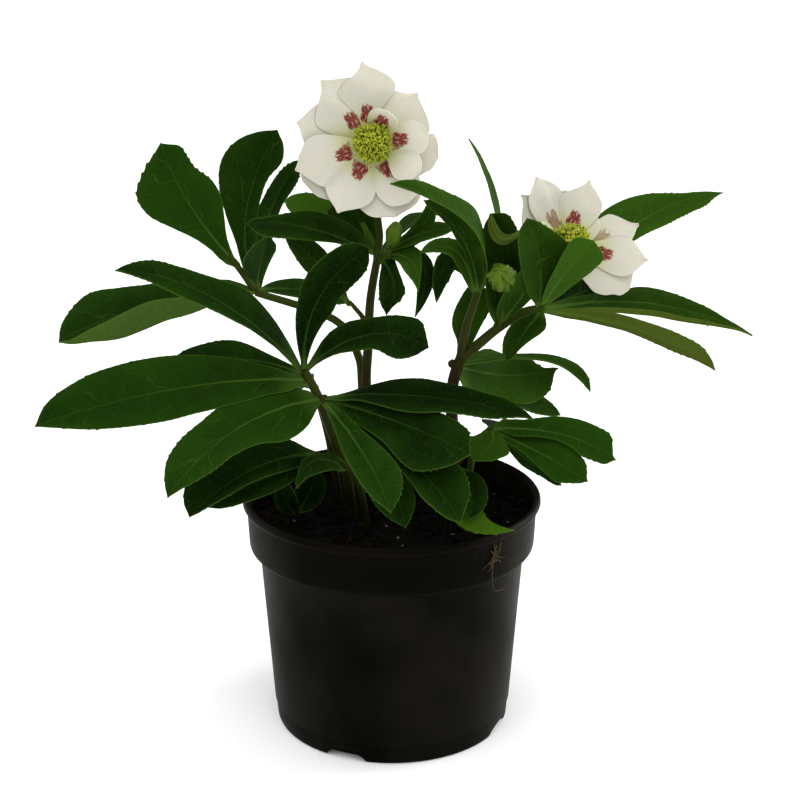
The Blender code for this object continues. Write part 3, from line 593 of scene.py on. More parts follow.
def make_vein_group():
    """The masks of a leaf blade: midrib, forking side veins, fine network, margin and underside."""
    group = bpy.data.node_groups.new("leaf_veins", "ShaderNodeTree")
    for name, value in (("Vein Spacing", 11), ("Rib Width", 0.7), ("Vein Slope", 1.1)):
        socket = group.interface.new_socket(name, in_out="INPUT", socket_type="NodeSocketFloat")
        socket.default_value = value
    outputs = ("Rib", "Veins", "Network", "Margin", "Outer", "Underside", "Tone", "Base")
    for name in outputs:
        group.interface.new_socket(name, in_out="OUTPUT", socket_type="NodeSocketFloat")
    given = group.nodes.new("NodeGroupInput").outputs
    spacing, widest, slope = Signal(given[0]), Signal(given[1]), Signal(given[2])
    across, along, half = parts_of(read_layer(group, "place"))
    tone, underside, length = parts_of(read_layer(group, "look"))
    away = abs(across)
    edge = away / half
    left = (length - along) / length
    own = wire(group, "ShaderNodeCombineXYZ", {0: across, 1: along, 2: tone * 90})
    wander = speckle(own, 0.11, 2) - 0.5
    shiver = speckle(own, 0.26, 1) - 0.5

    rib_width = left**2.2 * widest + 0.07
    rib = soft_step(abs(shiver * 0.5 + across), rib_width + 0.22, rib_width * 0.6)
    rib = rib * (left**1.6 * 0.75 + 0.25)

    turn = (along + wander * 16 + shiver * 1.2 - away * slope) / spacing
    turn = turn + across.maths("GREATER_THAN") * 0.45
    near = abs(turn.maths("FRACT") - 0.5) * spacing
    vein_width = (edge * -1 + 1) * 0.22 + 0.10
    veins = soft_step(near, vein_width + 0.30, vein_width * 0.5)
    fork = abs((away * shiver * 0.16 + turn * 2).maths("FRACT") - 0.5) * spacing * 0.5
    forks = soft_step(fork, 0.38, 0.05) * soft_step(edge, 0.35, 0.6)
    veins = veins.maths("MAXIMUM", forks * 0.55) * soft_step(speckle(own, 0.07, 1), 0.32, 0.62)
    veins = veins * soft_step(edge, 0.98, 0.75)

    cells = wire(group, "ShaderNodeTexVoronoi", {"Vector": own, "Scale": 0.42}, feature="DISTANCE_TO_EDGE")
    network = soft_step(cells, 0.10, 0.01)
    margin = soft_step(half - away, 0.55, 0.15)
    outer = soft_step(edge, 0.35, 1)
    base = soft_step(along / length, 0.16, 0)
    finish = group.nodes.new("NodeGroupOutput")
    for name, mask in zip(outputs, (rib, veins, network, margin, outer, underside, tone, base)):
        group.links.new(mask.socket, finish.inputs[name])
    return group


vein_group = make_vein_group()


def make_leaf_green(name, dark, light, young, below, vein, shine, spacing, slope):
    """A leaf blade: mottled green, pale veins and margin, and a lighter ribbed underside."""
    material, shader, where = start_material(name, IOR=1.42, Specular_IOR_Level=0.016)
    given = {"Vein Spacing": spacing, "Vein Slope": slope}
    group = place_node(material.node_tree, "ShaderNodeGroup", given, node_tree=vein_group)
    rib, veins, network, margin, outer, underside, tone, base = [Signal(mask) for mask in group.outputs]
    mottle = speckle(where, 60, 4)
    strength = tone.maths("MINIMUM", 1) * 0.6 + 0.4
    colour = tint(tone * 0.8 + mottle * 0.6 + outer * 0.18 - 0.28, dark, light)
    colour = tint(soft_step(tone, 0.95, 1.5), colour, young)
    colour = tint(network * 0.04, colour, vein)
    colour = tint(veins * 0.22 * strength, colour, vein)
    under = tint(mottle * 0.5, below, vein)
    under = tint(network * 0.12, under, dark)
    colour = tint(underside, colour, under)
    colour = tint(base * 0.45, colour, vein)
    colour = tint(margin * 0.30, colour, vein)
    colour = tint(rib * 0.72 * strength.maths("MAXIMUM", base), colour, vein)
    relief = speckle(where, 1400, 2) * 0.15 - network * 0.25 - (veins + rib) * 0.8
    connect_surface(shader, colour, mottle * 0.15 + shine, relief, 0.35, 0.0004)
    return material


def make_stalk_skin():
    """A leaf stalk: green to dark red-brown by its own look, fine lengthwise streaks, painted shade at its
    foot.
    """
    material, shader, where = start_material("stalk_skin", IOR=1.42, Specular_IOR_Level=0.04)
    redness = parts_of(read_layer(where.tree, "look"))[0]
    height = parts_of(where)[2]
    streaks = speckle(stretched(read_layer(where.tree, "place"), (2.2, 0.12, 1)), 1.4)
    share = redness + (streaks - 0.5) * 0.9 + (speckle(where, 260) - 0.5) * 0.5
    colour = tint(soft_step(share, 0, 0.5), (0.025, 0.041, 0.004), (0.024, 0.027, 0.004))
    colour = tint(soft_step(share, 0.4, 1), colour, (0.015, 0.008, 0.0025))
    # Painted shade: below 128 mm, towards the lip and the soil, the stalks are painted darker, as if shaded
    # there.
    colour = tint(soft_step(height, 0.128, 0.100) * 0.8, colour, (0.0035, 0.0030, 0.0010))
    connect_surface(shader, colour, streaks * 0.2 + 0.35, streaks, 0.3, 0.0003)
    return material


leaf_green = make_leaf_green(
    "leaf_green", dark=(0.0018, 0.008, 0.0004), light=(0.013, 0.044, 0.0022), young=(0.055, 0.125, 0.006),
    below=(0.034, 0.064, 0.010), vein=(0.060, 0.120, 0.018), shine=0.55, spacing=12, slope=1.1,
)
stalk_skin = make_stalk_skin()


def grow_leaf(node, stalks, knots, leaflets, blade_finish=leaf_green):
    """One leaf or leafy stem: its stalks, knots and leaflets as one piece that stands for a solid."""
    body = start_body()
    for low_radius, high_radius, points, low_look, high_look in stalks:
        route = smooth_route(points, STALK_STEPS)
        add_tube(body, route, low_radius, high_radius, STALK_SIDES, low_look, high_look, 1)
    for knot in knots:
        add_knot(body, *knot)
    for leaflet in leaflets:
        add_leaflet(body, *leaflet)
    stand_for(make_piece(node + "_foliage", body, [blade_finish, stalk_skin], 50), node)


grow_leaf(
    "leaf_front",
    stalks=[
        (2.3, 1.8, standing(-17, -6) + [(-20, -10, 119), (-27, -18, 144), (-31, -22, 157), (-36, -22, 167)],
         0.3, 0.35),
    ],
    knots=[((-36, -22, 166), 1.8, 0.65), ((-28, -23, 155), 2.0, 0.55)],
    leaflets=[
        ((-35, -22, 163), (-86, -40, 165), (-142, -55, 154), 29, (-1, -7, 6),
         ((35, 53, 77, 89, 95, 81, 56, 23), (20, 47, 78, 99, 108, 100, 80, 47)), 0.55),
        ((-29, -23, 155), (-62, -50, 151), (-88, -72, 130), 29, (-2, -7, 5),
         ((41, 89, 107, 79, 66, 59, 38, 14), (38, 58, 62, 83, 78, 82, 66, 30)), 0.65),
        ((-37, -21, 165), (-64, -6, 167), (-100, 6, 160), 18, (0, -5, 8),
         ((38, 38, 36, 30, 24, 18, 14, 8), (20, 30, 52, 84, 112, 112, 82, 30)), 0.25),
        ((-37, -22, 167), (-70, -48, 205), (-106, -60, 219), 18, (2, -5, 7),
         ((10, 22, 45, 76, 82, 66, 34, 12), (60, 110, 138, 115, 92, 77, 63, 32)), 0.3),
        ((-36, -22, 167), (-30, -27, 198), (-9, -18, 218), 22, (2, -9, 1),
         ((12, 28, 50, 70, 87, 83, 71, 42), (14, 28, 48, 68, 66, 71, 70, 46)), 0),
        ((-35, -23, 168), (-9, -38, 187), (15, -46, 184), 18, (0, -6, 7),
         ((40, 80, 100, 92, 90, 97, 100, 40), (14, 30, 57, 83, 97, 125, 117, 70)), 0),
        ((-27, -24, 156), (16, -42, 162), (57, -52, 156), 19, (0, -3, 9),
         ((22, 62, 101, 115, 99, 73, 68, 32), (41, 54, 104, 131, 117, 98, 57, 14)), 0),
        ((-27, -24, 155), (7, -52, 153), (31, -72, 148), 22, (1, -7, 7),
         ((16, 44, 64, 82, 94, 93, 79, 30), (24, 54, 80, 112, 150, 165, 136, 80)), 0.1),
        ((-27, -24, 154), (7, -62, 142), (27, -88, 126), 23, (2, -6, 6),
         ((29, 70, 100, 116, 120, 117, 78, 26), (14, 20, 30, 42, 56, 68, 59, 33)), 0.25),
        ((-28, -24, 154), (-10, -64, 144), (0, -88, 130), 17, (1, -8, 6),
         ((40, 46, 60, 90, 108, 108, 74, 30), (20, 40, 69, 86, 88, 76, 49, 18)), 0.5),
        ((-27, -23, 154), (-5, -46, 136), (6, -64, 114), 16, (1, -8, 4),
         ((32, 28, 34, 49, 69, 88, 75, 30), (8, 49, 90, 118, 129, 126, 96, 45)), 0.25),
    ],
)


# Low left leaf
# A short leaf that leans out over the lip on the left, with two blades side by side and a small one on the
# stalk.
grow_leaf(
    "leaf_low_left",
    stalks=[(1.6, 1.4, standing(-11, -16) + [(-14, -17, 115), (-20, -17, 123), (-31, -15, 127)], 0.2, 0.2)],
    knots=[((-31, -15, 127), 1.6, 0.25)],
    leaflets=[
        ((-32, -15, 128), (-58, -38, 129), (-81, -62, 118), 24, (-1, -6, 5),
         ((30, 50, 55, 50, 45, 40, 30, 15), (30, 73, 88, 85, 83, 88, 90, 50)), 0.1),
        ((-32, -15, 127), (-50, -28, 123), (-75, -44, 115), 15, (-1, -6, 5), OVAL, 0.1),
        ((-19, -17, 122), (-32, -26, 129), (-39, -40, 122), 12, (0, -4, 8),
         ((60, 100, 130, 150, 150, 110, 50, 20), (60, 80, 65, 60, 55, 40, 25, 20)), 0.5),
    ],
)


# Upper left leaf
# The tallest leaf on the left, on a long thin stalk that forks: a lobed blade, two round ones behind it,
# and a narrow one that hangs out to the left.
grow_leaf(
    "leaf_upper_left",
    stalks=[
        (2.1, 1.6, standing(-14, 8)
         + [(-13, 10, 125), (-13, 13, 150), (-15, 14, 164), (-25, 18, 178), (-59, 22, 189)], 0.5, 0.1),
        (1.5, 1.2, [(-59, 22, 189), (-64, 22, 197), (-70, 20, 206)], 0.2, 0.0),
    ],
    knots=[((-59, 22, 190), 1.8, 0.45)],
    leaflets=[
        ((-66, 21, 201), (-85, 16, 228), (-96, 10, 256), 34, (0, -9, 3),
         ((21, 24, 39, 69, 102, 103, 61, 21), (9, 25, 55, 78, 79, 58, 51, 41)), 0.85),
        ((-59, 23, 191), (-64, 42, 220), (-50, 50, 255), 29, (2, -9, 2),
         ((14, 20, 30, 60, 96, 114, 94, 46), (21, 34, 36, 36, 36, 40, 57, 38)), 0.45),
        ((-59, 23, 191), (-54, 51, 218), (-41, 66, 239), 21, (4, -8, 4),
         ((6, 23, 46, 57, 53, 47, 37, 20), (24, 34, 40, 37, 37, 47, 44, 21)), 0.35),
        ((-59, 23, 190), (-57, 29, 200), (-54, 36, 211), 17, (7, -6, 2),
         ((34, 81, 130, 132, 111, 79, 41, 16), (32, 34, 38, 46, 56, 66, 70, 50)), 0.3),
        ((-58, 23, 190), (-41, 42, 185), (-20, 58, 175), 13, (3, -5, 8), LONG, 0.3),
        ((-60, 22, 190), (-103, 4, 188), (-139, -12, 177), 23, (0, -5, 7),
         ((5, 38, 69, 85, 97, 90, 65, 34), (52, 69, 78, 94, 116, 129, 94, 50)), 0.45, (-1, 0.75)),
    ],
)


# Low right leaf
# A short leaf on the right, level with the lip. Four leathery blades spread from a knot to the right and
# front, on a stalk rooted in the soil.
grow_leaf(
    "leaf_low_right",
    stalks=[(1.7, 1.4, standing(31, -8) + [(33, -8, 114), (36, -9, 130), (42, -12, 138)], 0.3, 0.1)],
    knots=[((42, -12, 138), 1.6, 0.15)],
    leaflets=[
        ((42, -12, 138), (70, -30, 142), (92, -42, 135), 17, (0, -7, 6),
         ((51, 48, 65, 88, 102, 97, 83, 14), (14, 46, 39, 37, 51, 78, 69, 51)), 0.8),
        ((42, -12, 138), (64, -32, 133), (80, -48, 128), 16, (0, -7, 6),
         ((58, 73, 92, 107, 109, 98, 71, 21), (24, 30, 45, 68, 88, 99, 69, 36)), 0.95),
        ((42, -12, 138), (58, -22, 127), (71, -32, 120), 8, (-4, -7, 4),
         ((50, 60, 50, 50, 36, 26, 22, 18), (24, 34, 60, 82, 67, 49, 45, 30)), 0.6),
        ((42, -12, 138), (42, -22, 135), (34, -34, 132), 17, (-1, -6, 7),
         ((18, 35, 49, 76, 108, 90, 60, 24), (90, 112, 120, 118, 111, 95, 76, 50)), 1.1),
    ],
)


# Leaf in the pot
# A young leaf that folds down inside the lip on the right: a yellow-green blade over a dark one, on a short
# stalk rooted in the soil.
grow_leaf(
    "leaf_in_pot",
    stalks=[(1.4, 1.3, standing(22, -16) + [(26, -21, 115), (28, -25, 125)], 0.1, 0.1)],
    knots=[((28, -25, 125), 1.2, 0)],
    leaflets=[
        ((28, -25, 125), (33, -39, 119), (32, -50, 112), 14, (1, -8, 5), EVEN, 0.1),
        ((28, -25, 125), (31, -40, 112), (50, -54, 109), 14, (2, -8, 5),
         ((34, 64, 80, 84, 70, 34, 14, 5), (34, 64, 87, 104, 104, 80, 48, 20)), 1.3),
    ],
)


# Sprout
# A seedling leaf at the left, just above the soil: a short stalk, rooted there, that parts into two small
# smooth blades.
grow_leaf(
    "sprout",
    stalks=[(1.2, 1.1, standing(-41, -9) + [(-41, -9, 101)], 0.3, 0.2)],
    knots=[],
    leaflets=[
        ((-41, -9, 99), (-45, -13, 105), (-46, -14, 116), 10, (-1, -9, 2), YOUNG, 0.05, NO_CURL, False),
        ((-41, -9, 99), (-36, -5, 106), (-33, -2, 116), 13, (1, -9, 2), YOUNG, 0, NO_CURL, False),
    ],
)


# Back leaves
# Three older leaves that lean out over the back of the lip, left, middle and right. Each has its own stalk
# in the soil and three or four leathery blades.
grow_leaf(
    "leaf_back_left",
    stalks=[(2.0, 1.6, standing(-24, 16) + [(-28, 20, 123), (-34, 24, 145)], 0.5, 0.3)],
    knots=[((-34, 24, 145), 1.8, 0.45)],
    leaflets=[
        ((-34, 24, 145), (-74, 46, 142), (-112, 62, 125), 24, (0, 1, 9), LONG),
        ((-34, 24, 145), (-60, 66, 137), (-82, 104, 115), 26, (0, 2, 9), LONG),
        ((-34, 24, 145), (-48, 72, 135), (-52, 114, 109), 22, (0, 3, 9), LONG),
    ],
)
grow_leaf(
    "leaf_back",
    stalks=[(2.0, 1.6, standing(4, 14) + [(5, 20, 118), (10, 34, 138)], 0.5, 0.3)],
    knots=[((10, 34, 138), 1.8, 0.45)],
    leaflets=[
        ((10, 34, 138), (-14, 68, 126), (-30, 98, 111), 20, (0, 3, 9), LONG),
        ((10, 34, 138), (6, 74, 129), (2, 112, 111), 22, (0, 3, 9), LONG),
        ((10, 34, 138), (28, 70, 129), (40, 102, 112), 22, (0, 3, 9), LONG),
        ((10, 34, 138), (38, 52, 133), (64, 70, 120), 18, (0, 2, 9), LONG),
    ],
)
grow_leaf(
    "leaf_back_right",
    stalks=[(1.8, 1.4, standing(22, 14) + [(30, 18, 113), (44, 24, 125)], 0.5, 0.3)],
    knots=[((44, 24, 125), 1.6, 0.45)],
    leaflets=[
        ((44, 24, 125), (70, 38, 124), (97, 48, 115), 16, (0, 1, 9), BROAD),
        ((44, 24, 125), (66, 52, 119), (84, 80, 103), 18, (0, 3, 9), LONG),
        ((44, 24, 125), (50, 60, 117), (52, 96, 100), 17, (0, 3, 9), LONG),
    ],
)


# Flower stalk
# The stem in the middle, brown at its foot and darker there with painted shade, which carries the high
# flower, a bud, and a ruff of narrow bracts.
RECEPTACLE_BACK = 1.8
BLOOM_HIGH_CENTRE, BLOOM_HIGH_AXIS = (-8, -4, 258), (0.05, -0.95, 0.24)
BUD_HIGH = ((1, -6, 221), (0.2, -0.25, 0.95), 3.2, 12)
SEAT_GAP = 0.6


def seat_points(centre, axis, back):
    """The last two points of a stalk that carries a flower or bud, square to its seat."""
    axis = Vector(axis).normalized()
    return [Vector(centre) - axis * (back + SEAT_GAP + 4), Vector(centre) - axis * (back + 0.1)]


bract_green = make_leaf_green(
    "bract_green", dark=(0.0028, 0.011, 0.0006), light=(0.0215, 0.059, 0.003), young=(0.045, 0.110, 0.008),
    below=(0.047, 0.055, 0.005), vein=(0.060, 0.125, 0.018), shine=0.52, spacing=7, slope=1.4,
)
grow_leaf(
    "flower_stalk",
    stalks=[
        (2.6, 1.7, standing(-5, 1)
         + [(-9, 3, 125), (-11, 5, 152), (-10, 5, 170), (-9, 5, 190), (-6, 5, 208)], 1.0, 0.4),
        (1.7, 1.5, [(-6, 5, 206), (-5, 6, 218), (-7, 8, 235), (-8, 7, 248)]
         + seat_points(BLOOM_HIGH_CENTRE, BLOOM_HIGH_AXIS, RECEPTACLE_BACK), 0.2, 0.0),
        (1.2, 1.1, [(-6, 5, 206), (-3, 2, 211)]
         + seat_points(BUD_HIGH[0], BUD_HIGH[1], BUD_HIGH[3] / 2), 0.1, 0.0),
        (1.1, 0.9, [(-10, 5, 178), (-13, 7, 183), (-18, 10, 188)], 0.3, 0.0),
    ],
    knots=[((-6, 5, 209), 1.8, 0.25)],
    leaflets=[
        ((-6, 5, 210), (-36, -5, 224), (-59, -12, 227), 15, (1, -6, 7),
         ((14, 28, 58, 90, 112, 118, 100, 60), (70, 110, 120, 108, 74, 44, 30, 18)), 0.05),
        ((-6, 6, 210), (-25, 18, 222), (-46, 24, 229), 16, (-2, -7, 5), OVAL, 1.12),
        ((-6, 6, 210), (-13, 14, 221), (-17, 19, 234), 19, (1, -9, 3),
         ((27, 74, 122, 148, 148, 133, 100, 40), (25, 36, 56, 76, 92, 98, 73, 30)), 0.1),
        ((-5, 4, 209), (1, -8, 200), (-2, -12, 188), 11, (1, -9, 0),
         ((85, 76, 65, 71, 87, 52, 16, 5), (8, 57, 93, 115, 120, 112, 87, 38)), 0),
        ((-5, 4, 210), (12, -6, 221), (26, -8, 224), 9, (0, -5, 6), LONG, 0.5),
        ((-5, 4, 210), (11, -3, 221), (16, -8, 236), 8, (2, -9, 1), LONG, 0.6),
        ((-5, 4, 209), (8, -10, 211), (11, -20, 200), 11, (2, -7, 4),
         ((60, 100, 112, 106, 63, 32, 16, 8), (20, 36, 62, 85, 101, 93, 52, 16)), 0.8),
        ((-5, 5, 209), (13, 6, 206), (10, 3, 183), 8, (2, -9, 0), LONG, 0),
        ((-18, 10, 187), (-31, 17, 202), (-46, 22, 216), 14, (3, -6, 6), LONG, 0.2),
        ((-6, 6, 210), (12, 22, 222), (24, 34, 220), 20, (0, 3, 9), LONG, 0.3),
        ((-6, 6, 210), (-16, 26, 216), (-14, 44, 206), 20, (0, 3, 9), LONG, 0.2),
    ],
    blade_finish=bract_green,
)


# Leafy stem on the right
# A dark red-brown stem that forks three times. Its top fork carries the side flower in a cup of toothed
# bracts, a middle one a bud, and long blades spread out to the right.
BLOOM_SIDE_CENTRE, BLOOM_SIDE_AXIS = (73, 10, 212), (0.25, -0.86, 0.42)
BUD_SIDE = ((45, -23, 207), (-0.15, -0.6, 0.6), 5.2, 11)
grow_leaf(
    "leafy_stem_right",
    stalks=[
        (3.0, 2.4, standing(22, 1) + [(26, 1, 125), (26, 1, 152), (30, 0, 167)], 1.0, 0.8),
        (1.9, 1.5, [(29, 0, 165), (32, -2, 182), (36, -6, 196)], 0.5, 0.2),
        (2.2, 1.7, [(29, 0, 165), (38, 0, 173), (45, 0, 179), (55, -4, 187), (63, -8, 190)], 0.5, 0.1),
        (1.4, 1.3, [(62, -7, 190), (68, 3, 194), (73, 13, 202)]
         + seat_points(BLOOM_SIDE_CENTRE, BLOOM_SIDE_AXIS, RECEPTACLE_BACK), 0.1, 0.0),
        (1.0, 1.0, [(45, 0, 179), (46, -8, 188)]
         + seat_points(BUD_SIDE[0], BUD_SIDE[1], BUD_SIDE[3] / 2), 0.1, 0.0),
    ],
    knots=[
        ((26, 1, 163), 2.0, 0.65), ((36, -6, 196), 1.6, 0.05), ((45, 0, 180), 2.0, 0.15),
        ((63, -8, 190), 1.6, 0.05),
    ],
    leaflets=[
        ((36, -6, 197), (33, -32, 230), (0, -50, 251), 13, (3, -5, 7),
         ((60, 60, 60, 50, 42, 34, 26, 14), (70, 110, 140, 150, 120, 99, 82, 44)), 0.7),
        ((36, -6, 196), (29, -24, 223), (13, -30, 240), 9, (-4, -8, 2),
         ((40, 50, 56, 62, 50, 40, 30, 26), (60, 90, 133, 165, 170, 115, 80, 50)), 0.35),
        ((35, -6, 196), (26, -18, 217), (12, -22, 217), 8, (-2, -6, 6),
         ((60, 80, 96, 104, 100, 90, 66, 34), (70, 100, 120, 116, 104, 92, 70, 36)), 0.7),
        ((36, -5, 196), (25, 4, 208), (19, 1, 190), 10, (2, -9, 0), LONG, 0),
        ((29, 1, 166), (33, 12, 180), (38, 17, 194), 17, (0, -9, 2),
         ((19, 26, 67, 81, 79, 69, 58, 37), (28, 48, 62, 74, 88, 92, 86, 58)), 0.6),
        ((45, 1, 181), (46, 16, 220), (33, 22, 256), 10, (9, -2, 3), LONG, 0.8),
        ((45, -1, 181), (46, -11, 211), (41, -17, 232), 14, (1, -9, -2),
         ((60, 90, 106, 108, 102, 98, 84, 50), (60, 110, 136, 140, 124, 110, 96, 70)), 0.35),
        ((46, -1, 180), (57, -17, 202), (66, -26, 217), 13, (4, -8, 2),
         ((50, 110, 150, 165, 150, 110, 66, 30), (30, 50, 66, 76, 74, 60, 42, 20)), 0.5),
        ((62, -8, 190), (60, -25, 214), (54, -36, 234), 23, (1, -9, 2),
         ((24, 48, 62, 70, 72, 68, 56, 35), (43, 67, 95, 115, 110, 75, 45, 20)), 0.5),
        ((63, -8, 191), (71, -29, 211), (80, -40, 226), 23, (3, -9, 2),
         ((16, 28, 40, 50, 57, 63, 65, 48), (25, 38, 54, 68, 78, 78, 69, 42)), 1.1),
        ((63, -7, 190), (108, 36, 217), (147, 52, 227), 18, (0, -7, 6),
         ((32, 82, 135, 143, 107, 48, 23, 8), (28, 35, 57, 72, 85, 78, 62, 20)), 0.9),
        ((64, -8, 190), (113, 14, 186), (155, 8, 174), 17, (1, -5, 7),
         ((30, 42, 62, 101, 81, 53, 26, 9), (30, 53, 71, 79, 85, 64, 32, 7)), 0.5, (1, 0.12)),
        ((64, -8, 189), (101, -22, 185), (132, -34, 171), 15, (0, 8, 4),
         ((38, 44, 46, 48, 52, 48, 26, 12), (18, 28, 56, 68, 70, 74, 72, 36)), 0.7),
        ((63, -8, 189), (55, -10, 179), (49, -8, 167), 13, (-2, -8, 3),
         ((60, 96, 90, 70, 50, 36, 26, 14), (30, 50, 80, 98, 100, 90, 66, 30)), 0.2),
        ((27, 2, 162), (51, 20, 152), (74, 28, 153), 20, (0, -7, 5),
         ((4, 78, 114, 105, 83, 65, 21, 10), (126, 140, 143, 135, 143, 123, 86, 16)), 0.55),
        ((27, 2, 161), (53, 17, 145), (75, 22, 133), 12, (0, -6, 7), LONG, 0.3),
        ((28, 2, 163), (66, 14, 161), (86, 6, 149), 8, (1, -2, 9),
         ((20, 40, 60, 100, 150, 150, 100, 40), (60, 60, 40, 30, 30, 34, 30, 24)), 0.6),
        ((52, -20, 225), (44, -21, 223), (40, -20, 233), 5, (0, 9, 1), OVAL, 0.4, NO_CURL, False),
        ((64, -6, 190), (88, 14, 194), (108, 30, 201), 13, (0, -8, 5), EVEN, 0.1),
    ],
    blade_finish=bract_green,
)


# High flower
# A layered hellebore flower: broad cream-white petals in rings on a small green receptacle. Inner petals are
# narrower and stand up more, and many petals carry dark red brush marks near the heart.
RECEPTACLE_RADIUS = 4.4
RECEPTACLE_FRONT = 2.2
PETAL_CUP = 0.03
PETAL_RUFFLE = 0.025
PETAL_NOTCH = 0.03
PETAL_ROWS = 26
PETAL_COLUMNS = 18
PETAL_FOLD = 0.05
PETAL_THICKNESS = 0.35
POINTED = ((40, 58, 78, 95, 102, 90, 52, 15), (38, 55, 76, 93, 102, 94, 60, 20))
HOOKED = ((40, 58, 80, 97, 102, 70, 28, 9), (38, 56, 76, 96, 106, 96, 56, 14))
ROUND = ((40, 60, 80, 95, 104, 104, 90, 60), (38, 58, 78, 94, 102, 98, 84, 54))
WAVY = ((40, 56, 80, 100, 96, 88, 92, 58), (38, 56, 74, 90, 104, 92, 64, 48))
TUCKED = ((8, 16, 36, 74, 100, 100, 84, 50),) * 2
CREST = ((22, 28, 40, 70, 98, 74, 30, 9), (22, 28, 42, 74, 106, 98, 58, 14))
# A layer of petals is its rise towards the front in degrees, and how far forward and outward it starts.
OUTER, BEHIND, MIDDLE = (12, -1.2, 3), (12, -0.3, 3), (13, 0.4, 3)
INNER, RAISED, UPRIGHT = (16, 0.9, 3), (28, 1.6, 3), (50, 2.0, 3)
SPREAD, LAID_BACK = (16, 0.9, 8), (14, 0, 8)


def flower_axes(axis):
    """The flower's own directions: the way it faces, up in its plane, and right as seen from in front."""
    axis = Vector(axis).normalized()
    up = (Vector((0, 0, 1)) - axis * axis.z).normalized()
    return axis, up, up.cross(axis)


def add_petal(body, centre, axes, angle, length, width, layer, mark, shape):
    """One petal: a grid cupped and ruffled along its edge, drawn to a point, and thickened."""
    place, look = own_layers(body)
    axis, up_way, right_way = axes
    chance = random.Random(int(angle * 7 + length * 100))
    wave, crimp, lean = chance.uniform(0, math.tau), chance.uniform(0.7, 1.4), chance.uniform(-0.6, 0.6)
    rise, forward, out = layer
    angle, rise = math.radians(angle), math.radians(rise)
    outward = up_way * math.cos(angle) + right_way * math.sin(angle)
    base = centre + outward * out + axis * forward
    tip = base + (outward * math.cos(rise) + axis * math.sin(rise)) * length
    bend = base + (tip - base) / 2 - axis * length * PETAL_CUP
    facing = axis * math.cos(rise) - outward * math.sin(rise)
    sheet = bmesh.ops.create_grid(body, x_segments=PETAL_COLUMNS, y_segments=PETAL_ROWS, size=1)["verts"]
    for vertex in sheet:
        side, along = vertex.co.x, (vertex.co.y + 1) / 2
        rib, _, up, right = bent_rib(base, bend, tip, facing, along)
        half = width / 200 * smooth_value(list(zip(EDGE_PLACES, (30, *shape[side > 0], 3))), along)
        ruffle = along**2 * math.sin(side * 4 * crimp + wave) * PETAL_RUFFLE * width
        notch = 1 - PETAL_NOTCH * along**4 * (1 + math.sin(along * 38 + wave + side * 2))
        lift = PETAL_FOLD * side**2 * half + ruffle * (1 - along**8)
        lift += noise.noise(Vector((side * 1.5, along * 2, wave))) * 0.6 * along
        sway = lean * along**2 * 1.5
        vertex.co = (rib + right * (side * half * notch + sway) + up * lift) * MM
        vertex[place] = (side * half, along * length, half)
        vertex[look] = (mark, 0, length)
    for vertex in thicken(body, sheet, PETAL_THICKNESS):
        vertex[look] = (mark, 1, length)


def make_petal_white():
    """Cream-white petal with faint veins, a green base and red brush marks where the look calls for them."""
    material, shader, where = start_material(
        "petal_white", IOR=1.4, Specular_IOR_Level=0.12, Subsurface_Weight=0.15, Subsurface_Scale=0.003,
        Subsurface_Radius=(1, 0.95, 0.75),
    )
    place = read_layer(where.tree, "place")
    across, along, _ = parts_of(place)
    mark, underside, _ = parts_of(read_layer(where.tree, "look"))
    veins = speckle(stretched(place, (1, 0.08, 1)), 0.9, 2)
    mottle = speckle(where, 90)
    colour = tint(mottle, (0.465, 0.445, 0.365), (0.53, 0.51, 0.435))
    colour = tint(soft_step(veins, 0.5, 0.72) * 0.10, colour, (0.56, 0.57, 0.41))
    colour = tint(soft_step(along, 16, 3) * 0.75, colour, (0.40, 0.43, 0.10))
    colour = tint(underside * 0.25, colour, (0.54, 0.57, 0.38))
    fan = across / (along * 0.26 + 1)
    strokes = wire(where.tree, "ShaderNodeCombineXYZ", {0: fan, 1: along * 0.07, 2: mark})
    streaks = speckle(strokes, 6)
    ends = speckle(strokes, 4, 2) * 11 - 5.5
    reach = soft_step(along, 5, 6.6) * soft_step(along + ends, 13.5, 12)
    dense = soft_step(streaks - abs(fan) * 0.14 + 0.14, 0.40, 0.51)
    spread = soft_step(along * 0.30 + abs(across) + ends * 0.4, 6.1, 5.2)
    red = tint(soft_step(streaks, 0.45, 0.62), (0.22, 0.045, 0.036), (0.095, 0.011, 0.011))
    colour = tint(reach * dense * spread * mark * (underside * -0.8 + 1), colour, red)
    connect_surface(shader, colour, mottle * 0.15 + 0.45, veins, 0.25, 0.0004)
    return material


petal_white = make_petal_white()


def facing_way(middle, axis):
    """The transform that puts a shape at a place in mm, with its Z axis along an axis."""
    return Matrix.Translation(middle * MM) @ axis.to_track_quat("Z", "X").to_matrix().to_4x4()


def make_bloom(node, centre, axis, petals):
    """The petals of a flower in their layers, on a rounded receptacle."""
    axes = flower_axes(axis)
    centre = Vector(centre)
    body = start_body()
    place, look = own_layers(body)
    middle = centre + axes[0] * (RECEPTACLE_FRONT - RECEPTACLE_BACK) / 2
    depth = (RECEPTACLE_BACK + RECEPTACLE_FRONT) / 2
    size = Matrix.Diagonal((RECEPTACLE_RADIUS * MM, RECEPTACLE_RADIUS * MM, depth * MM, 1))
    where = facing_way(middle, axes[0]) @ size
    ball = bmesh.ops.create_uvsphere(body, u_segments=24, v_segments=12, radius=1, matrix=where)["verts"]
    for vertex in ball:
        vertex[look] = (0, 1, 20)
        vertex[place] = (0, 1, 3)
    for petal in petals:
        add_petal(body, centre, axes, *petal)
    stand_for(make_piece(node + "_petals", body, [petal_white], 50), node)


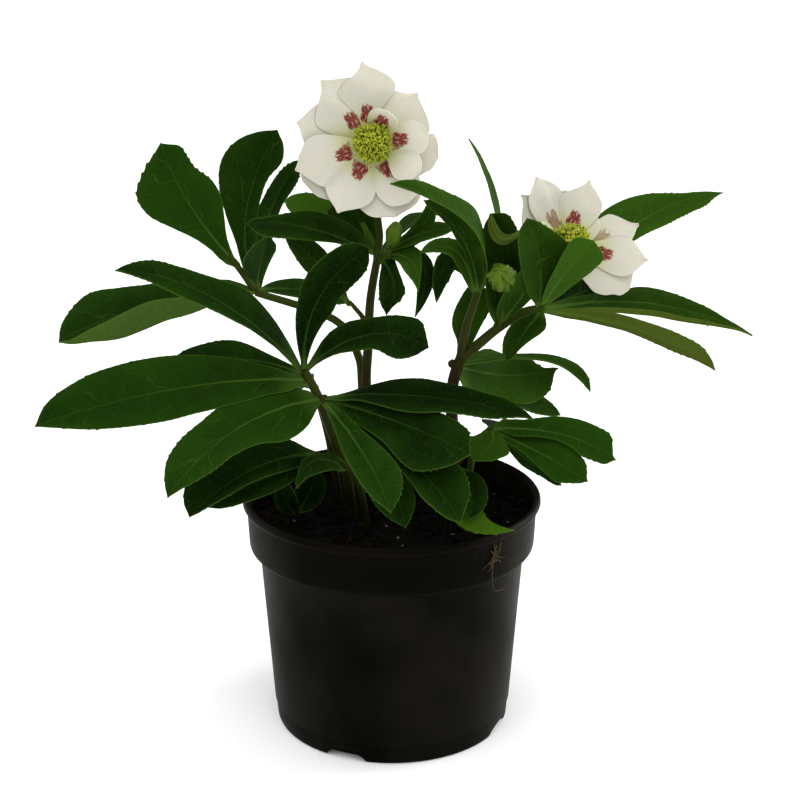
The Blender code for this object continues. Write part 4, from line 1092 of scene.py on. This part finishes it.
make_bloom(
    "bloom_high", BLOOM_HIGH_CENTRE, BLOOM_HIGH_AXIS,
    [
        (-37, 30, 25, BEHIND, 1, HOOKED), (-74, 29, 23, OUTER, 0, POINTED),
        (-119, 29.5, 24, OUTER, 0, ROUND), (164, 28.5, 26, BEHIND, 0, ROUND),
        (104, 25, 20, OUTER, 0.6, WAVY), (43, 25, 27, BEHIND, 0, HOOKED),
        (-6, 30.5, 23, MIDDLE, 1, CREST), (-109, 31, 21, INNER, 1, POINTED),
        (148, 26, 18, INNER, 1, ROUND), (-154, 29.5, 20, INNER, 1, POINTED),
        (124, 22, 13, RAISED, 0, TUCKED), (83, 22, 14, RAISED, 1, ROUND),
        (26, 16, 12, UPRIGHT, 1, ROUND),
    ],
)


# Side flower
# The smaller flower of the same kind on the right, which looks up and to the right. Its petals grow from a
# receptacle at the end of the leafy stem's top fork.
make_bloom(
    "bloom_side", BLOOM_SIDE_CENTRE, BLOOM_SIDE_AXIS,
    [
        (-38, 26, 17, OUTER, 0, HOOKED), (-19, 29, 16, MIDDLE, 0.7, POINTED), (7, 21, 16, BEHIND, 1, ROUND),
        (26, 27.5, 18, MIDDLE, 1, HOOKED), (78, 26, 15, LAID_BACK, 0.6, HOOKED),
        (107, 28, 17, SPREAD, 1, POINTED), (129, 30, 19, BEHIND, 0, WAVY),
        (-165, 13, 16, MIDDLE, 0, ROUND), (-100, 16, 18, BEHIND, 0, ROUND),
        (-70, 15, 13, RAISED, 0.5, ROUND), (168, 11, 13, INNER, 1, POINTED), (52, 17, 13, BEHIND, 0, ROUND),
    ],
)


# Hearts of the flowers
# A crowded ball of yellow-green stamens round the seed pods: thin filaments, each with a plump anther. It
# sits in front of the receptacle.
HEART_RADIUS = 5
STAMEN_COUNT = 300
STAMEN_REACH = 7.7
STAMEN_SPREAD = 0.98
FILAMENT_RADII = (0.22, 0.18)
ANTHER_RADII = (0.38, 0.62)


def make_stamen_green():
    """Yellow-green anthers, greener and darker towards the middle of the ball."""
    material, shader, where = start_material("stamen_green", IOR=1.4, Specular_IOR_Level=0.1)
    ripe = parts_of(read_layer(where.tree, "look"))[0]
    grain = speckle(where, 1800, 2)
    colour = tint(grain * 0.3 + ripe, (0.11, 0.18, 0.008), (0.34, 0.36, 0.030))
    connect_surface(shader, colour, grain * 0.2 + 0.5, grain, 0.3, 0.0003)
    return material


stamen_green = make_stamen_green()


def make_heart(node, flower_centre, flower_axis):
    """A core with filaments and anthers spread over its front half by the golden angle."""
    axis, up, right = flower_axes(flower_axis)
    centre = Vector(flower_centre) + axis * (RECEPTACLE_FRONT + 0.3 + HEART_RADIUS)
    body = start_body()
    look = own_layers(body)[1]
    where = Matrix.Translation(centre * MM)
    core = bmesh.ops.create_icosphere(body, subdivisions=4, radius=HEART_RADIUS * MM, matrix=where)["verts"]
    for vertex in core:
        vertex.co += (vertex.co - centre * MM).normalized() * noise.noise(vertex.co * 700) * 0.8 * MM
    chance = random.Random(5)
    golden_angle = math.pi * (3 - math.sqrt(5))
    for index in range(STAMEN_COUNT):
        height = 1 - STAMEN_SPREAD * (index + 0.5) / STAMEN_COUNT
        across = math.sqrt(1 - height * height)
        turn = golden_angle * index + chance.uniform(-0.12, 0.12)
        outward = axis * height + (up * math.cos(turn) + right * math.sin(turn)) * across
        reach = STAMEN_REACH + chance.uniform(-1.3, 0.4) + noise.noise(outward * 3.5) * 2.2
        foot, top = centre + outward * (HEART_RADIUS - 0.5), centre + outward * reach
        ripe = 0.35 + 0.5 * height * chance.uniform(0.6, 1.2)
        add_tube(body, [foot, (foot + top) / 2, top], *FILAMENT_RADII, 4, 0.2, 0.4, 0)
        leaning = outward + Vector([chance.uniform(-1, 1) for _ in range(3)])
        anther = bmesh.ops.create_uvsphere(
            body, u_segments=6, v_segments=5, radius=chance.uniform(*ANTHER_RADII) * MM,
            matrix=facing_way(top, leaning) @ Matrix.Diagonal((1, 0.6, 2.1, 1)),
        )["verts"]
        for vertex in anther:
            vertex[look] = (ripe, 0, 0)
    stand_for(make_piece(node + "_stamens", body, [stamen_green], 60), node)


make_heart("heart_high", BLOOM_HIGH_CENTRE, BLOOM_HIGH_AXIS)
make_heart("heart_side", BLOOM_SIDE_CENTRE, BLOOM_SIDE_AXIS)


# Buds
# Closed pale green buds: five sepals wrapped round one another and drawn together at the tip, each bud on
# its own stalklet.
BUD_SEPALS = 5
SEPAL_ROWS = 18
SEPAL_COLUMNS = 12
SEPAL_THICKNESS = 0.3
SEPAL_HALF_TURN = math.radians(52)


def make_bud_green():
    """Pale green sepals, whiter towards the tip, with fine lengthwise veins."""
    material, shader, where = start_material("bud_green", IOR=1.4, Specular_IOR_Level=0.1)
    height = parts_of(read_layer(where.tree, "look"))[0]
    veins = speckle(stretched(read_layer(where.tree, "place"), (1.6, 0.1, 1)), 1.3)
    colour = tint(soft_step(height, 0.1, 1), (0.030, 0.070, 0.003), (0.078, 0.132, 0.008))
    colour = tint(soft_step(veins, 0.5, 0.7) * 0.5, colour, (0.030, 0.070, 0.006))
    connect_surface(shader, colour, veins * 0.2 + 0.4, veins, 0.3, 0.0004)
    return material


bud_green = make_bud_green()


def make_bud(node, bud, lumps):
    """The sepals of a bud, each a grid wrapped on an egg shape, one edge over its neighbour, with lumps."""
    middle, axis, radius, length = bud
    where = facing_way(Vector(middle), Vector(axis).normalized())
    body = start_body()
    place, look = own_layers(body)
    size = Matrix.Diagonal((radius * 0.8 * MM, radius * 0.8 * MM, length * 0.48 * MM, 1))
    core = bmesh.ops.create_uvsphere(body, u_segments=16, v_segments=10, radius=1, matrix=where @ size)
    for vertex in core["verts"]:
        vertex[look] = (0.2, 0, 0)
    for index in range(BUD_SEPALS):
        sheet = bmesh.ops.create_grid(body, x_segments=SEPAL_COLUMNS, y_segments=SEPAL_ROWS, size=1)["verts"]
        for vertex in sheet:
            side, along = vertex.co.x, (vertex.co.y + 1) / 2
            turn = math.tau * index / BUD_SEPALS + side * SEPAL_HALF_TURN * (1 - 0.35 * along**3)
            latitude = math.pi * (0.04 + 0.93 * along)
            bulge = math.sin(latitude) * (1 - 0.22 * max(0, 2 * along - 1)) * (1 + 0.05 * side)
            crumple = 1 + lumps * noise.noise(Vector((side * 2, along * 4, index * 3))) + 0.10 * along**3
            out = radius * max(0.06, bulge) * crumple
            low = -math.cos(latitude) * length / 2
            vertex.co = Vector((math.cos(turn) * out, math.sin(turn) * out, low)) * MM
            vertex[place] = (side * radius, along * length, radius)
            vertex[look] = (along, 0, 0)
        bmesh.ops.transform(body, matrix=where, verts=sheet)
        thicken(body, sheet, SEPAL_THICKNESS)
    stand_for(make_piece(node + "_sepals", body, [bud_green], 60), node)


make_bud("bud_high", BUD_HIGH, 0.2)
make_bud("bud_side", BUD_SIDE, 0.7)


# Floor, light and camera
# A wide pale floor, soft studio light from above, from the front and along the right side, and the camera.
def make_floor_paint():
    """Pale matte paint with the faintest unevenness."""
    material, shader, where = start_material("pale_floor", Roughness=0.9)
    colour = tint(speckle(where, 2), (0.92, 0.92, 0.92), (0.94, 0.94, 0.94))
    colour.tree.links.new(colour.socket, shader.inputs["Base Color"])
    return material


floor_shape = bmesh.new()
bmesh.ops.create_grid(floor_shape, x_segments=1, y_segments=1, size=12)
floor = make_piece("studio_floor", floor_shape, [make_floor_paint()], 40)


def add_light(name, location, target, size, power):
    """A square soft light that faces a target."""
    lamp = bpy.data.lights.new(name, "AREA")
    lamp.size = size
    lamp.energy = power
    light = bpy.data.objects.new(name, lamp)
    light.location = location
    light.rotation_euler = (Vector(target) - Vector(location)).to_track_quat("-Z", "Y").to_euler()
    bpy.context.scene.collection.objects.link(light)


add_light("key_light", (0.5, -1.3, 0.8), (0, 0, 0.15), 0.9, 5)
add_light("edge_light", (1.2, 0.35, 0.3), (0, 0, 0.05), 0.7, 18)

sun = bpy.data.lights.new("overhead_light", "SUN")
sun.energy = 2.85
sun.angle = math.radians(110)
overhead = bpy.data.objects.new("overhead_light", sun)
overhead.rotation_euler = Vector((0.35, 0.1, -1)).to_track_quat("-Z", "Y").to_euler()
bpy.context.scene.collection.objects.link(overhead)

world = bpy.data.worlds.new("studio")
world.use_nodes = True
world.node_tree.nodes["Background"].inputs["Color"].default_value = (1, 1, 1, 1)
world.node_tree.nodes["Background"].inputs["Strength"].default_value = 0.55
bpy.context.scene.world = world
bpy.context.scene.view_settings.view_transform = "Standard"

camera_data = bpy.data.cameras.new("camera")
camera_data.sensor_width = 36
camera_data.lens = 79.65
camera = bpy.data.objects.new("camera", camera_data)
camera.location = (0.0036, -0.723, 0.382)
camera.rotation_euler = (math.radians(72), 0, 0)
bpy.context.scene.collection.objects.link(camera)
bpy.context.scene.camera = camera
